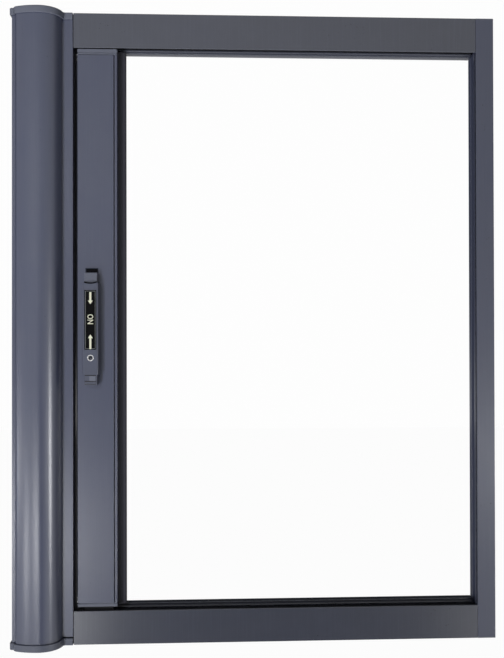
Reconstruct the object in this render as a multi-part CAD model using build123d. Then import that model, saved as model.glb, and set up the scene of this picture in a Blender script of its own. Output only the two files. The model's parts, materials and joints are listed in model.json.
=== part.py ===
from build123d import *
import os

# A short retractable insect screen door. A round-fronted cassette stands at the left, with the
# screen wound on a sprung roller inside it. Two channel rails run to a strike jamb at the right.
# A pull bar with a latch handle slides along the rails and draws the screen across the opening.
# Millimetres. +X runs from the cassette to the jamb, -Y is the front and +Z is up. The origin is
# on the cassette's flat rear face, in the middle of its width and of its height.

# Whole frame
FRAME_HEIGHT = 800.0
FRAME_DEPTH = 35.0
OPENING_LENGTH = 517.5
WALL = 1.6
SOFT_EDGE = 0.7
CASSETTE_JOINT = 0.8
JAMB_JOINT = 0.3
CUT_PAST = 1.0
NEAR = 0.01

# Cassette section
CASSETTE_WIDTH = 73.5
SHELL_LIP_WIDTH = 4.9
SHELL_LIP_PROUD = 13.5
FLANGE_WIDTH = 13.4
NOSE_RADIUS = 25.5
SHOULDER_RADIUS = 68.0
SHOULDER_CORNER = 5.0
SNAP_LEG = 4.6
SNAP_GAP = 0.5
SLOT_WIDTH = 10.0
SCREW_PORT_RADIUS = 3.1
SCREW_PORT_INSET = 3.9
SCREW_BORE_RADIUS = 1.5
FIXING_SPACING = 600.0
FIXING_HOLE_RADIUS = 2.25

# Cassette end caps
CAP_HEIGHT = 9.0
CAP_PLATE = 2.5
CAP_OVERHANG = 2.4
CAP_FIT = 0.2
CAP_ROUND = 1.6
CAP_CORNER = 2.2

# Roller and wound screen
ROLLER_FROM_RIGHT = 42.0
ROLLER_DEPTH = 30.0
TUBE_RADIUS = 12.5
TUBE_WALL = 1.1
ROLL_THICKNESS = 2.0
BEARING_LENGTH = 16.0
BEARING_FLANGE = 2.0
BEARING_FIT = 0.1
SPINDLE_SIDE = 5.0
SPINDLE_FIT = 0.1
SOCKET_WALL = 2.0
SOCKET_HEIGHT = 6.0
BEARING_END_GAP = 0.3
ROLL_END_MARGIN = 6.0

# Rails
RAIL_HEIGHT = 44.0
CHANNEL_DEPTH = 22.0
REAR_LIP_WIDTH = 12.0
BOTTOM_FRONT_LIP_SHORTER = 1.7
BOTTOM_REAR_LIP_LONGER = 1.2

# Brush pile strips and the grooves that hold them
GROOVE_PAD = 3.2
GROOVE_PAD_LENGTH = 8.0
GROOVE_HEAD = 5.4
GROOVE_HEAD_DEPTH = 1.3
GROOVE_NECK = 3.2
GROOVE_NECK_DEPTH = 1.0
PILE_FIT = 0.15
RAIL_PAD_INSET = 2.0
RAIL_PILE_GAP = 7.2
SLOT_PILE_GAP = 3.2

# Strike jamb
JAMB_WIDTH = 23.0
JAMB_MOUTH = 11.0
JAMB_REAR_LIP = 10.4
JAMB_CHANNEL = 12.5
JAMB_MAGNET = 4.0
JAMB_MAGNET_MARGIN = 1.2
JAMB_PILE_REACH = 1.0
JAMB_PILE_END_GAP = 0.5
JAMB_END_CAP = 2.0

# Plugs inside the ends of the rails
PLUG_LENGTH = 18.0
PLUG_FIT = 0.15

# Screen
SCREEN_THICKNESS = 1.0
SCREEN_HEM_IN_RAIL = 14.0

# Pull bar
BAR_WIDTH = 50.1
BAR_DEPTH = 27.0
BAR_SETBACK = 1.5
BAR_REAR_LIP = 4.7
BAR_GAP_LEFT = 5.5
BAR_GAP_TOP = 1.2
BAR_GAP_BOTTOM = 3.4
BAR_TOP_CAP = 7.4
BAR_TOP_CAP_PLATE = 4.4
BAR_TOP_CAP_BEAD = 1.3
BAR_BOTTOM_CAP = 4.8
BAR_BOTTOM_CAP_PLATE = 3.4
BAR_CAP_NECK_DEPTH = 0.9
BAR_CAP_NECK = 0.9
SHADOW_GROOVE_FROM_LEFT = 45.75
SHADOW_GROOVE = 1.3
SHADOW_GROOVE_DEPTH = 4.5
SEAL_REACH = 10.1
SEAL_CLEARANCE = 0.8
SEAL_WALL = 1.4
SEAL_ROUND = 2.0
SEAL_GROOVE_STEP = 1.6
SEAL_NECK = 6.4
SEAL_HEAD = 9.6
SEAL_PAD = 12.8
SPLINE_RADIUS = 2.4
SPLINE_FIT = 0.15
SPLINE_MOUTH = 1.8
CLOSING_GAP = 2.0
SHOE_THICKNESS = 6.0
SHOE_LENGTH = 38.0
SHOE_RUNNING_GAP = 0.3
SHOE_TOP_REACH = 12.0
SHOE_BASE_THICKNESS = 1.6
SHOE_ROUND = 1.5

# Latch handle
HANDLE_WIDTH = 19.8
HANDLE_HEIGHT = 115.6
HANDLE_DEPTH = 14.0
HANDLE_FROM_LEFT = 8.1
HANDLE_CENTRE_Z = -1.0
HANDLE_WALL = 1.4
HANDLE_ROUND = 2.2
THUMB_NOTCH_WIDTH = 15.0
THUMB_NOTCH_DEPTH = 1.4
LABEL_WIDTH = 15.1
LABEL_FROM_TOP = 8.9
LABEL_SCREW_GAP = 6.0
LABEL_RECESS = 0.6
LABEL_FIT = 0.15
SCREW_HEAD_RADIUS = 3.4
SCREW_RECESS_RADIUS = 4.1
SCREW_RECESS_DEPTH = 1.0
SCREW_HEAD_HEIGHT = 2.0
SCREW_HEAD_BEVEL = 0.5
BUTTON_HEAD = 13.1
BUTTON_FIT = 0.4
BUTTON_TAIL = 11.0
BUTTON_TRAVEL = 4.5
BUTTON_ROUND = 1.2
BUTTON_END_BEVEL = 0.6
TOP_BUTTON_SETBACK = 3.4
GRIP_GROOVE = 1.2
GRIP_GROOVE_DEPTH = 0.8
GRIP_PAD = 6.6
GRIP_STEP = 1.6
GRIP_STEP_HEIGHT = 2.4
REAR_PULL_HEIGHT = 100.0
REAR_PULL_WIDTH = 14.0
REAR_PULL_DEPTH = 5.6
REAR_PULL_WALL = 2.4
REAR_PULL_ROUND = 1.2

# Places worked out from the sizes above
TOP = FRAME_HEIGHT / 2
LEFT = -CASSETTE_WIDTH / 2
RIGHT = CASSETTE_WIDTH / 2
SEAM_X = LEFT + SHELL_LIP_WIDTH
FLANGE_X = RIGHT - FLANGE_WIDTH
CREST_X = FLANGE_X - NOSE_RADIUS
CREST_DEPTH = FRAME_DEPTH + NOSE_RADIUS
SHELL_LIP_DEPTH = FRAME_DEPTH + SHELL_LIP_PROUD
SHELL_TOP = TOP - CAP_PLATE
RAIL_EDGE = TOP - RAIL_HEIGHT
CHANNEL_FRONT = -(FRAME_DEPTH - WALL)
CHANNEL_REAR = -REAR_LIP_WIDTH
SCREEN_Y = (CHANNEL_FRONT + CHANNEL_REAR) / 2
SLOT_FRONT = SCREEN_Y - SLOT_WIDTH / 2
SLOT_REAR = SCREEN_Y + SLOT_WIDTH / 2
SLOT_GROOVE_X = RIGHT - WALL - GROOVE_PAD_LENGTH / 2
SLOT_PILE_REACH = (SLOT_WIDTH - SLOT_PILE_GAP) / 2
RAIL_PILE_REACH = (CHANNEL_REAR - CHANNEL_FRONT - RAIL_PILE_GAP) / 2 - GROOVE_PAD
CHANNEL_FLOOR = RAIL_EDGE + CHANNEL_DEPTH
JAMB_LEFT = RIGHT + OPENING_LENGTH
JAMB_RIGHT = JAMB_LEFT + JAMB_WIDTH
JAMB_TOP = TOP - JAMB_END_CAP
JAMB_MOUTH_REAR = -JAMB_REAR_LIP
JAMB_MOUTH_FRONT = JAMB_MOUTH_REAR - JAMB_MOUTH
JAMB_WEB = JAMB_LEFT + JAMB_CHANNEL
JAMB_PILE_Y = -FRAME_DEPTH + GROOVE_PAD_LENGTH / 2
RAIL_START = RIGHT + CASSETTE_JOINT
RAIL_STOP = JAMB_LEFT - JAMB_JOINT
ROLLER_X = RIGHT - ROLLER_FROM_RIGHT
ROLLER_Y = -ROLLER_DEPTH
BEARING_END = SHELL_TOP - BEARING_END_GAP
TUBE_TOP = BEARING_END - BEARING_FLANGE - SOCKET_HEIGHT
BAR_LEFT = RIGHT + BAR_GAP_LEFT
BAR_RIGHT = BAR_LEFT + BAR_WIDTH
BAR_FRONT = -(FRAME_DEPTH - BAR_SETBACK)
BAR_REAR = BAR_FRONT + BAR_DEPTH
BAR_TOP = RAIL_EDGE - BAR_GAP_TOP
BAR_BOTTOM = -(RAIL_EDGE - BAR_GAP_BOTTOM)
PROFILE_TOP = BAR_TOP - BAR_TOP_CAP
PROFILE_BOTTOM = BAR_BOTTOM + BAR_BOTTOM_CAP
SEAL_FRONT = JAMB_MOUTH_FRONT + SEAL_CLEARANCE
SEAL_REAR = JAMB_MOUTH_REAR - SEAL_CLEARANCE
SEAL_MIDDLE = (SEAL_FRONT + SEAL_REAR) / 2
CLAMP_X = BAR_LEFT + WALL + SPLINE_RADIUS
HANDLE_LEFT = BAR_LEFT + HANDLE_FROM_LEFT
HANDLE_X = HANDLE_LEFT + HANDLE_WIDTH / 2
HANDLE_FACE = BAR_FRONT - HANDLE_DEPTH
HANDLE_LOW = HANDLE_CENTRE_Z - HANDLE_HEIGHT / 2
HANDLE_HIGH = HANDLE_CENTRE_Z + HANDLE_HEIGHT / 2
BUTTON_POCKET = BUTTON_TAIL + BUTTON_TRAVEL + BUTTON_FIT
SCREW_Z = HANDLE_LOW + BUTTON_POCKET + HANDLE_WALL + SCREW_RECESS_RADIUS
LABEL_HIGH = HANDLE_HIGH - LABEL_FROM_TOP
LABEL_LOW = SCREW_Z + SCREW_RECESS_RADIUS + LABEL_SCREW_GAP
TRAVEL = JAMB_LEFT - CLOSING_GAP - BAR_RIGHT


def rect(x0, x1, y0, y1):
    """Flat rectangle between two corners."""
    return Pos((x0 + x1) / 2, (y0 + y1) / 2) * Rectangle(x1 - x0, y1 - y0)


def upright(face, z0, z1):
    """Section drawn in X and Y, run up from z0 to z1."""
    return Pos(0, 0, z0) * extrude(face, amount=z1 - z0)


def block(x0, x1, y0, y1, z0, z1):
    """Solid box between two corners."""
    return upright(rect(x0, x1, y0, y1), z0, z1)


def along_x(face, x0, x1):
    """Section drawn in Y and Z, run from x0 to x1."""
    return Pos(x0, 0, 0) * extrude(Plane.YZ * face, amount=x1 - x0)


def upside_down(shape):
    """The same piece at the other end of the frame."""
    return mirror(shape, about=Plane.XY)


def upright_edges(shape, x=None, y=None):
    """Edges that run up a shape, at a given x, y or both."""
    found = shape.edges().filter_by(Axis.Z)
    if x is not None:
        found = found.filter_by(lambda edge: abs(edge.center().X - x) < NEAR)
    if y is not None:
        found = found.filter_by(lambda edge: abs(edge.center().Y - y) < NEAR)
    return found


def cassette_outline(grow, inset=0.0):
    """Outer section of the cassette, grown at its left and front, with flat sides inset."""
    left = LEFT - grow
    front = -CREST_DEPTH - grow
    body = rect(left, CREST_X, -SHELL_LIP_DEPTH - grow, -inset)
    flange = rect(CREST_X, RIGHT - inset, -FRAME_DEPTH - grow, -inset)
    nose = Pos(CREST_X, -FRAME_DEPTH) * Circle(NOSE_RADIUS + grow)
    nose &= rect(CREST_X, RIGHT, front, -inset)
    shoulder = Pos(CREST_X, SHOULDER_RADIUS - CREST_DEPTH) * Circle(SHOULDER_RADIUS + grow)
    shoulder &= rect(SEAM_X - grow, CREST_X, front, -FRAME_DEPTH)
    corner = shoulder.vertices().sort_by(lambda vertex: vertex.X + vertex.Y)[0]
    shoulder = fillet(corner, SHOULDER_CORNER + grow)
    return body + flange + shoulder + nose


def cassette_ring():
    """Wall of the whole cassette, before it is parted into a shell and a cover."""
    return cassette_outline(0) - cassette_outline(-WALL, WALL)


def groove_pad():
    """Pad with an undercut groove for a pile strip; its back is on v = 0 and it opens to +v."""
    neck_floor = GROOVE_PAD - GROOVE_NECK_DEPTH
    pad = rect(-GROOVE_PAD_LENGTH / 2, GROOVE_PAD_LENGTH / 2, 0, GROOVE_PAD)
    head = rect(-GROOVE_HEAD / 2, GROOVE_HEAD / 2, neck_floor - GROOVE_HEAD_DEPTH, neck_floor)
    neck = rect(-GROOVE_NECK / 2, GROOVE_NECK / 2, neck_floor, GROOVE_PAD + CUT_PAST)
    return pad - head - neck


def pile_strip(reach):
    """Backing that lies in the groove, with bristles that stand out of it by the reach."""
    neck_floor = GROOVE_PAD - GROOVE_NECK_DEPTH
    floor = neck_floor - GROOVE_HEAD_DEPTH
    backing = rect(-GROOVE_HEAD / 2 + PILE_FIT, GROOVE_HEAD / 2 - PILE_FIT,
                   floor, neck_floor - PILE_FIT)
    bristles = rect(-GROOVE_NECK / 2 + PILE_FIT, GROOVE_NECK / 2 - PILE_FIT,
                    floor, GROOVE_PAD + reach)
    return backing + bristles


def screw_port(x, y):
    """Round boss for an end cap's screw, as a pair of sections: the boss and its bore."""
    return Pos(x, y) * Circle(SCREW_PORT_RADIUS), Pos(x, y) * Circle(SCREW_BORE_RADIUS)


def slot_front_place():
    """Puts a groove section on the front side of the cassette's slot, facing back."""
    return Pos(SLOT_GROOVE_X, SLOT_FRONT - GROOVE_PAD)


def slot_rear_place():
    """Puts a groove section on the rear side of the cassette's slot, facing forward."""
    return Pos(SLOT_GROOVE_X, SLOT_REAR + GROOVE_PAD) * Rot(0, 0, 180)


def make_back_shell():
    """Rear half of the cassette: left wall with its lip, rear wall, and half of the slot."""
    left_side = rect(LEFT - WALL, SEAM_X - SNAP_GAP, -CREST_DEPTH, 0)
    rear_side = rect(LEFT, RIGHT, SLOT_REAR, 0)
    section = cassette_ring() & (left_side + rear_side)
    section += rect(SEAM_X - SNAP_GAP - WALL, SEAM_X - SNAP_GAP,
                    -SHELL_LIP_DEPTH, -SHELL_LIP_DEPTH + SNAP_LEG)
    section += slot_rear_place() * groove_pad()
    for x in (LEFT + SCREW_PORT_INSET, RIGHT - SCREW_PORT_INSET):
        boss, bore = screw_port(x, -SCREW_PORT_INSET)
        section = section + boss - bore
    shell = upright(section, -SHELL_TOP, SHELL_TOP)
    for z in (-FIXING_SPACING / 2, FIXING_SPACING / 2):
        hole = Pos(0, -WALL / 2, z) * Rot(90, 0, 0) * Cylinder(FIXING_HOLE_RADIUS, 3 * WALL)
        shell -= hole
    return shell


def make_round_cover():
    """Front half of the cassette: the round nose, the flange and half of the slot."""
    front_side = rect(SEAM_X, RIGHT, -CREST_DEPTH, SLOT_FRONT)
    section = cassette_ring() & front_side
    section += rect(SEAM_X, SEAM_X + WALL, -SHELL_LIP_DEPTH, -SHELL_LIP_DEPTH + SNAP_LEG)
    section += slot_front_place() * groove_pad()
    return upright(section, -SHELL_TOP, SHELL_TOP)


def on_cap_steps(corner):
    """Whether a corner of the cap's outline lies on the lip's face or where the flange begins."""
    steps = (-SHELL_LIP_DEPTH - CAP_OVERHANG, -FRAME_DEPTH - CAP_OVERHANG)
    return corner.X < RIGHT - WALL and any(abs(corner.Y - step) < NEAR for step in steps)


def make_cassette_cap():
    """Moulded cap that follows the cassette's outline, with a skirt and a roller socket."""
    outline = cassette_outline(CAP_OVERHANG)
    corners = outline.vertices().filter_by(on_cap_steps)
    outer = upright(fillet(corners, CAP_CORNER), TOP - CAP_HEIGHT, TOP)
    rim = outer.faces().sort_by(Axis.Z)[-1].edges()
    rim = rim.filter_by(lambda edge: edge.center().Y < -WALL and edge.center().X < RIGHT - NEAR)
    outer = fillet(rim, CAP_ROUND)
    skirt_low = TOP - CAP_HEIGHT - CUT_PAST
    pocket = upright(cassette_outline(CAP_FIT), skirt_low, SHELL_TOP)
    rear_gap = block(LEFT - CAP_FIT, RIGHT + CAP_FIT, -FRAME_DEPTH, CUT_PAST,
                     skirt_low, SHELL_TOP)
    cap = outer - pocket - rear_gap
    socket_side = SPINDLE_SIDE + 2 * SOCKET_WALL
    socket = block(ROLLER_X - socket_side / 2, ROLLER_X + socket_side / 2,
                   ROLLER_Y - socket_side / 2, ROLLER_Y + socket_side / 2,
                   SHELL_TOP - SOCKET_HEIGHT, SHELL_TOP)
    bore_side = SPINDLE_SIDE / 2 + SPINDLE_FIT
    bore = block(ROLLER_X - bore_side, ROLLER_X + bore_side,
                 ROLLER_Y - bore_side, ROLLER_Y + bore_side,
                 SHELL_TOP - SOCKET_HEIGHT, SHELL_TOP)
    return cap + (socket - bore)


def make_slot_piles():
    """Pile strips on both sides of the slot that the screen comes out of."""
    strip = pile_strip(SLOT_PILE_REACH)
    return [upright(place * strip, -SHELL_TOP, SHELL_TOP)
            for place in (slot_front_place(), slot_rear_place())]


def make_roller_tube():
    """Plain tube that the screen winds on."""
    section = Pos(ROLLER_X, ROLLER_Y) * (Circle(TUBE_RADIUS) - Circle(TUBE_RADIUS - TUBE_WALL))
    return upright(section, -TUBE_TOP, TUBE_TOP)


def make_bearing():
    """Plug in the end of the roller tube, with a flange and a square spindle."""
    plug = upright(Pos(ROLLER_X, ROLLER_Y) * Circle(TUBE_RADIUS - TUBE_WALL - BEARING_FIT),
                   TUBE_TOP - BEARING_LENGTH, TUBE_TOP)
    flange = upright(Pos(ROLLER_X, ROLLER_Y) * Circle(TUBE_RADIUS + ROLL_THICKNESS),
                     TUBE_TOP, TUBE_TOP + BEARING_FLANGE)
    spindle = upright(Pos(ROLLER_X, ROLLER_Y) * Rectangle(SPINDLE_SIDE, SPINDLE_SIDE),
                      TUBE_TOP, BEARING_END)
    return plug + flange + spindle


def make_screen_roll():
    """Turns of the wound screen, as one sleeve on the tube."""
    section = Pos(ROLLER_X, ROLLER_Y) * (
        Circle(TUBE_RADIUS + ROLL_THICKNESS) - Circle(TUBE_RADIUS))
    end = CHANNEL_FLOOR - ROLL_END_MARGIN
    return upright(section, -end, end)


def make_screen_mesh():
    """Stretch of screen that shows between the slot and the pull bar."""
    end = RAIL_EDGE + SCREEN_HEM_IN_RAIL
    return block(RIGHT, BAR_LEFT, SCREEN_Y - SCREEN_THICKNESS / 2,
                 SCREEN_Y + SCREEN_THICKNESS / 2, -end, end)


def rail_section(front_shorter=0.0, rear_longer=0.0):
    """Section of a rail in Y and Z, as at the top: two closed chambers and the guide channel."""
    front_edge = RAIL_EDGE + front_shorter
    rear_edge = RAIL_EDGE - rear_longer
    outer = rect(-FRAME_DEPTH, SCREEN_Y, front_edge, TOP) + rect(SCREEN_Y, 0, rear_edge, TOP)
    channel = rect(CHANNEL_FRONT, CHANNEL_REAR, rear_edge - WALL, CHANNEL_FLOOR)
    back_chamber = rect(CHANNEL_FRONT, -WALL, CHANNEL_FLOOR + WALL, TOP - WALL)
    lip_chamber = rect(CHANNEL_REAR + WALL, -WALL, rear_edge + WALL, CHANNEL_FLOOR)
    section = outer - channel - back_chamber - lip_chamber
    for place in rail_groove_places():
        section += place * groove_pad()
    return section


def rail_groove_places():
    """Places of the two pile grooves at the mouth of the top rail's channel."""
    middle = RAIL_EDGE + RAIL_PAD_INSET + GROOVE_PAD_LENGTH / 2
    front = Pos(CHANNEL_FRONT, middle) * Rot(0, 0, -90)
    rear = Pos(CHANNEL_REAR, middle) * Rot(0, 0, 90)
    return front, rear


def make_rail(section):
    """Channel rail between the cassette and the jamb, with its front's long edges rounded."""
    rail = along_x(section, RAIL_START, RAIL_STOP)
    long_edges = rail.edges().filter_by(Axis.X)
    soft = long_edges.filter_by(lambda edge: abs(edge.center().Y + FRAME_DEPTH) < NEAR)
    return fillet(soft, SOFT_EDGE)


def make_top_rail():
    """Rail at the top, open downwards."""
    return make_rail(rail_section())


def make_bottom_rail():
    """Rail at the bottom, open upwards, with a lower front lip and a higher rear lip."""
    section = rail_section(BOTTOM_FRONT_LIP_SHORTER, BOTTOM_REAR_LIP_LONGER)
    return upside_down(make_rail(section))


def make_rail_piles():
    """Pile strips on both sides of the top rail's channel."""
    strip = pile_strip(RAIL_PILE_REACH)
    return [along_x(place * strip, RAIL_START, RAIL_STOP) for place in rail_groove_places()]


def make_rail_plugs():
    """Plugs in the ends of the top rail's upper chamber, which the fixing screws bite into."""
    section = rect(CHANNEL_FRONT + PLUG_FIT, -WALL - PLUG_FIT,
                   CHANNEL_FLOOR + WALL, TOP - WALL - PLUG_FIT)
    bore = Pos((CHANNEL_FRONT - WALL) / 2, (CHANNEL_FLOOR + TOP) / 2) * Circle(SCREW_BORE_RADIUS)
    plug = section - bore
    return [along_x(plug, RIGHT, RIGHT + PLUG_LENGTH),
            along_x(plug, JAMB_LEFT - PLUG_LENGTH, JAMB_LEFT)]


def jamb_pile_place():
    """Puts a groove section in the jamb's closing side, behind its front face, opening to -X."""
    return Pos(JAMB_LEFT + GROOVE_PAD, JAMB_PILE_Y) * Rot(0, 0, 90)


def make_strike_jamb():
    """Hollow jamb with a deep channel that takes the pull bar's seal, and a pile groove before it."""
    section = rect(JAMB_LEFT, JAMB_RIGHT, -FRAME_DEPTH, 0)
    section -= rect(JAMB_LEFT - WALL, JAMB_WEB, JAMB_MOUTH_FRONT, JAMB_MOUTH_REAR)
    section -= rect(JAMB_WEB + WALL, JAMB_RIGHT - WALL, CHANNEL_FRONT, -WALL)
    section -= rect(JAMB_LEFT + WALL, JAMB_WEB, CHANNEL_FRONT, JAMB_MOUTH_FRONT - WALL)
    section -= rect(JAMB_LEFT + WALL, JAMB_WEB, JAMB_MOUTH_REAR + WALL, -WALL)
    section -= rect(JAMB_LEFT, JAMB_LEFT + GROOVE_PAD, JAMB_PILE_Y - GROOVE_PAD_LENGTH / 2,
                    JAMB_PILE_Y + GROOVE_PAD_LENGTH / 2)
    section += jamb_pile_place() * groove_pad()
    jamb = upright(section, -JAMB_TOP, JAMB_TOP)
    return fillet(upright_edges(jamb, y=-FRAME_DEPTH), SOFT_EDGE)


def make_jamb_pile():
    """Pile strip that stands out of the jamb's closing side between the rails."""
    end = RAIL_EDGE - JAMB_PILE_END_GAP
    return upright(jamb_pile_place() * pile_strip(JAMB_PILE_REACH), -end, end)


def make_jamb_end_caps():
    """Flat plates that close the jamb's two ends."""
    plate = block(JAMB_LEFT, JAMB_RIGHT, -FRAME_DEPTH, 0, JAMB_TOP, TOP)
    plate = fillet(upright_edges(plate, y=-FRAME_DEPTH), SOFT_EDGE)
    return [plate, upside_down(plate)]


def make_jamb_magnet():
    """Magnetic strip on the floor of the jamb's channel."""
    return block(JAMB_WEB - JAMB_MAGNET, JAMB_WEB, JAMB_MOUTH_FRONT + JAMB_MAGNET_MARGIN,
                 JAMB_MOUTH_REAR - JAMB_MAGNET_MARGIN, -RAIL_EDGE, RAIL_EDGE)


def seal_groove(fit):
    """Undercut groove in the bar's closing edge, or the seal's root when it is inset by the fit."""
    neck_x = BAR_RIGHT - SEAL_GROOVE_STEP - fit
    neck = rect(neck_x, BAR_RIGHT + CUT_PAST,
                SEAL_MIDDLE - SEAL_NECK / 2 + fit, SEAL_MIDDLE + SEAL_NECK / 2 - fit)
    head = rect(BAR_RIGHT - 2 * SEAL_GROOVE_STEP, neck_x,
                SEAL_MIDDLE - SEAL_HEAD / 2 + fit, SEAL_MIDDLE + SEAL_HEAD / 2 - fit)
    return neck + head


def rear_lip():
    """Lip at the bar's rear that closes the gap beside the cassette."""
    return rect(BAR_LEFT - BAR_REAR_LIP, BAR_LEFT + WALL, BAR_REAR - WALL, BAR_REAR)


def make_pull_bar():
    """Hollow bar with a rear lip and grooves for a shadow line, for the seal and for the screen."""
    section = rect(BAR_LEFT, BAR_RIGHT, BAR_FRONT, BAR_REAR) + rear_lip()
    section -= rect(BAR_LEFT + WALL, BAR_RIGHT - WALL, BAR_FRONT + WALL, BAR_REAR - WALL)
    groove_x = BAR_LEFT + SHADOW_GROOVE_FROM_LEFT
    section += rect(groove_x - WALL, groove_x + SHADOW_GROOVE + WALL,
                    BAR_FRONT, BAR_FRONT + SHADOW_GROOVE_DEPTH + WALL)
    section -= rect(groove_x, groove_x + SHADOW_GROOVE,
                    BAR_FRONT, BAR_FRONT + SHADOW_GROOVE_DEPTH)
    section += rect(BAR_RIGHT - 2 * SEAL_GROOVE_STEP - WALL, BAR_RIGHT,
                    SEAL_MIDDLE - SEAL_PAD / 2, SEAL_MIDDLE + SEAL_PAD / 2)
    section -= seal_groove(0)
    clamp = Pos(CLAMP_X, SCREEN_Y) * Circle(SPLINE_RADIUS + WALL)
    section += clamp & rect(BAR_LEFT, BAR_RIGHT, BAR_FRONT, BAR_REAR)
    section -= Pos(CLAMP_X, SCREEN_Y) * Circle(SPLINE_RADIUS)
    section -= rect(BAR_LEFT - CUT_PAST, CLAMP_X, SCREEN_Y - SPLINE_MOUTH / 2,
                    SCREEN_Y + SPLINE_MOUTH / 2)
    bar = upright(section, PROFILE_BOTTOM, PROFILE_TOP)
    corners = (upright_edges(bar, x=BAR_LEFT, y=BAR_FRONT)
               + upright_edges(bar, x=BAR_RIGHT, y=BAR_FRONT)
               + upright_edges(bar, x=BAR_RIGHT, y=BAR_REAR))
    return fillet(corners, SOFT_EDGE)


def make_mesh_spline():
    """Round cord that clamps the screen's edge in the bar's groove."""
    section = Pos(CLAMP_X, SCREEN_Y) * Circle(SPLINE_RADIUS - SPLINE_FIT)
    return upright(section, PROFILE_BOTTOM, PROFILE_TOP)


def make_closing_seal():
    """Hollow magnetic seal that the bar carries into the jamb's channel."""
    tip = BAR_RIGHT + SEAL_REACH
    bulb = rect(BAR_RIGHT, tip, SEAL_FRONT, SEAL_REAR)
    tip_corners = bulb.vertices().filter_by(lambda corner: corner.X > tip - NEAR)
    bulb = fillet(tip_corners, SEAL_ROUND)
    bulb -= rect(BAR_RIGHT + SEAL_WALL, tip - 2 * SEAL_WALL,
                 SEAL_FRONT + SEAL_WALL, SEAL_REAR - SEAL_WALL)
    foot = seal_groove(PILE_FIT) & rect(BAR_LEFT, BAR_RIGHT, BAR_FRONT, BAR_REAR)
    return (upright(bulb, BAR_BOTTOM, BAR_TOP)
            + upright(foot, PROFILE_BOTTOM, PROFILE_TOP))


def bar_plate(z0, z1):
    """Plate over the bar's section and its rear lip."""
    plate = upright(rect(BAR_LEFT, BAR_RIGHT, BAR_FRONT, BAR_REAR) + rear_lip(), z0, z1)
    return fillet(upright_edges(plate, y=BAR_FRONT), SOFT_EDGE)


def bar_neck(z0, z1):
    """Neck of a bar cap, set in from the bar's section."""
    return block(BAR_LEFT + BAR_CAP_NECK_DEPTH, BAR_RIGHT - BAR_CAP_NECK_DEPTH,
                 BAR_FRONT + BAR_CAP_NECK_DEPTH, BAR_REAR - BAR_CAP_NECK_DEPTH, z0, z1)


def make_bar_top_cap():
    """Cap at the bar's upper end, with a bead between two dark seams."""
    plate_low = BAR_TOP - BAR_TOP_CAP_PLATE
    bead_high = plate_low - BAR_CAP_NECK
    bead_low = bead_high - BAR_TOP_CAP_BEAD
    return (bar_plate(plate_low, BAR_TOP) + bar_plate(bead_low, bead_high)
            + bar_neck(PROFILE_TOP, plate_low))


def make_bar_bottom_cap():
    """Cap at the bar's lower end, with a dark seam above its plate."""
    plate_high = BAR_BOTTOM + BAR_BOTTOM_CAP_PLATE
    return (bar_plate(BAR_BOTTOM, plate_high)
            + bar_neck(plate_high, PROFILE_BOTTOM))


def guide_shoe(z0, z1):
    """Nylon blade that runs between the pile strips in a rail's channel."""
    middle = (BAR_LEFT + BAR_RIGHT) / 2
    blade = block(middle - SHOE_LENGTH / 2, middle + SHOE_LENGTH / 2,
                  SCREEN_Y - SHOE_THICKNESS / 2, SCREEN_Y + SHOE_THICKNESS / 2, z0, z1)
    return fillet(upright_edges(blade), SHOE_ROUND)


def make_top_shoe():
    """Upper guide shoe, with room above it so that the bar can be lifted in."""
    return guide_shoe(BAR_TOP, RAIL_EDGE + SHOE_TOP_REACH)


def make_bottom_shoe():
    """Lower guide shoe, which carries the bar on the floor of the bottom rail's channel."""
    return guide_shoe(-CHANNEL_FLOOR + SHOE_RUNNING_GAP, BAR_BOTTOM)


def make_handle_body():
    """Moulded latch housing, open at both ends for its two buttons."""
    right = HANDLE_LEFT + HANDLE_WIDTH
    shell = block(HANDLE_LEFT, right, HANDLE_FACE, BAR_FRONT, HANDLE_LOW, HANDLE_HIGH)
    shell = fillet(upright_edges(shell, y=HANDLE_FACE), HANDLE_ROUND)
    for low, high in ((HANDLE_LOW, HANDLE_LOW + BUTTON_POCKET),
                      (HANDLE_HIGH - BUTTON_POCKET, HANDLE_HIGH)):
        shell -= block(HANDLE_LEFT + HANDLE_WALL, right - HANDLE_WALL,
                       HANDLE_FACE + HANDLE_WALL, BAR_FRONT, low, high)
    shell -= block(HANDLE_X - LABEL_WIDTH / 2, HANDLE_X + LABEL_WIDTH / 2,
                   HANDLE_FACE, HANDLE_FACE + LABEL_RECESS, LABEL_LOW, LABEL_HIGH)
    half_notch = THUMB_NOTCH_WIDTH / 2
    notch_radius = (half_notch ** 2 + THUMB_NOTCH_DEPTH ** 2) / (2 * THUMB_NOTCH_DEPTH)
    notch = forward_disc(HANDLE_FACE, HANDLE_HIGH - THUMB_NOTCH_DEPTH + notch_radius,
                         notch_radius, HANDLE_WALL)
    recess = forward_disc(HANDLE_FACE, SCREW_Z, SCREW_RECESS_RADIUS,
                          SCREW_RECESS_DEPTH + SCREW_HEAD_HEIGHT)
    return shell - notch - recess


def forward_disc(y, z, radius, thickness):
    """Disc on the handle's middle line, from a plane that faces front and back by a thickness."""
    disc = Cylinder(radius, thickness, align=(Align.CENTER, Align.CENTER, Align.MIN))
    return Pos(HANDLE_X, y, z) * Rot(-90, 0, 0) * disc


def make_handle_label():
    """Thin plate in the recess on the handle's face."""
    half_width = LABEL_WIDTH / 2 - LABEL_FIT
    return block(HANDLE_X - half_width, HANDLE_X + half_width,
                 HANDLE_FACE + LABEL_FIT, HANDLE_FACE + LABEL_RECESS,
                 LABEL_LOW + LABEL_FIT, LABEL_HIGH - LABEL_FIT)


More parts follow.
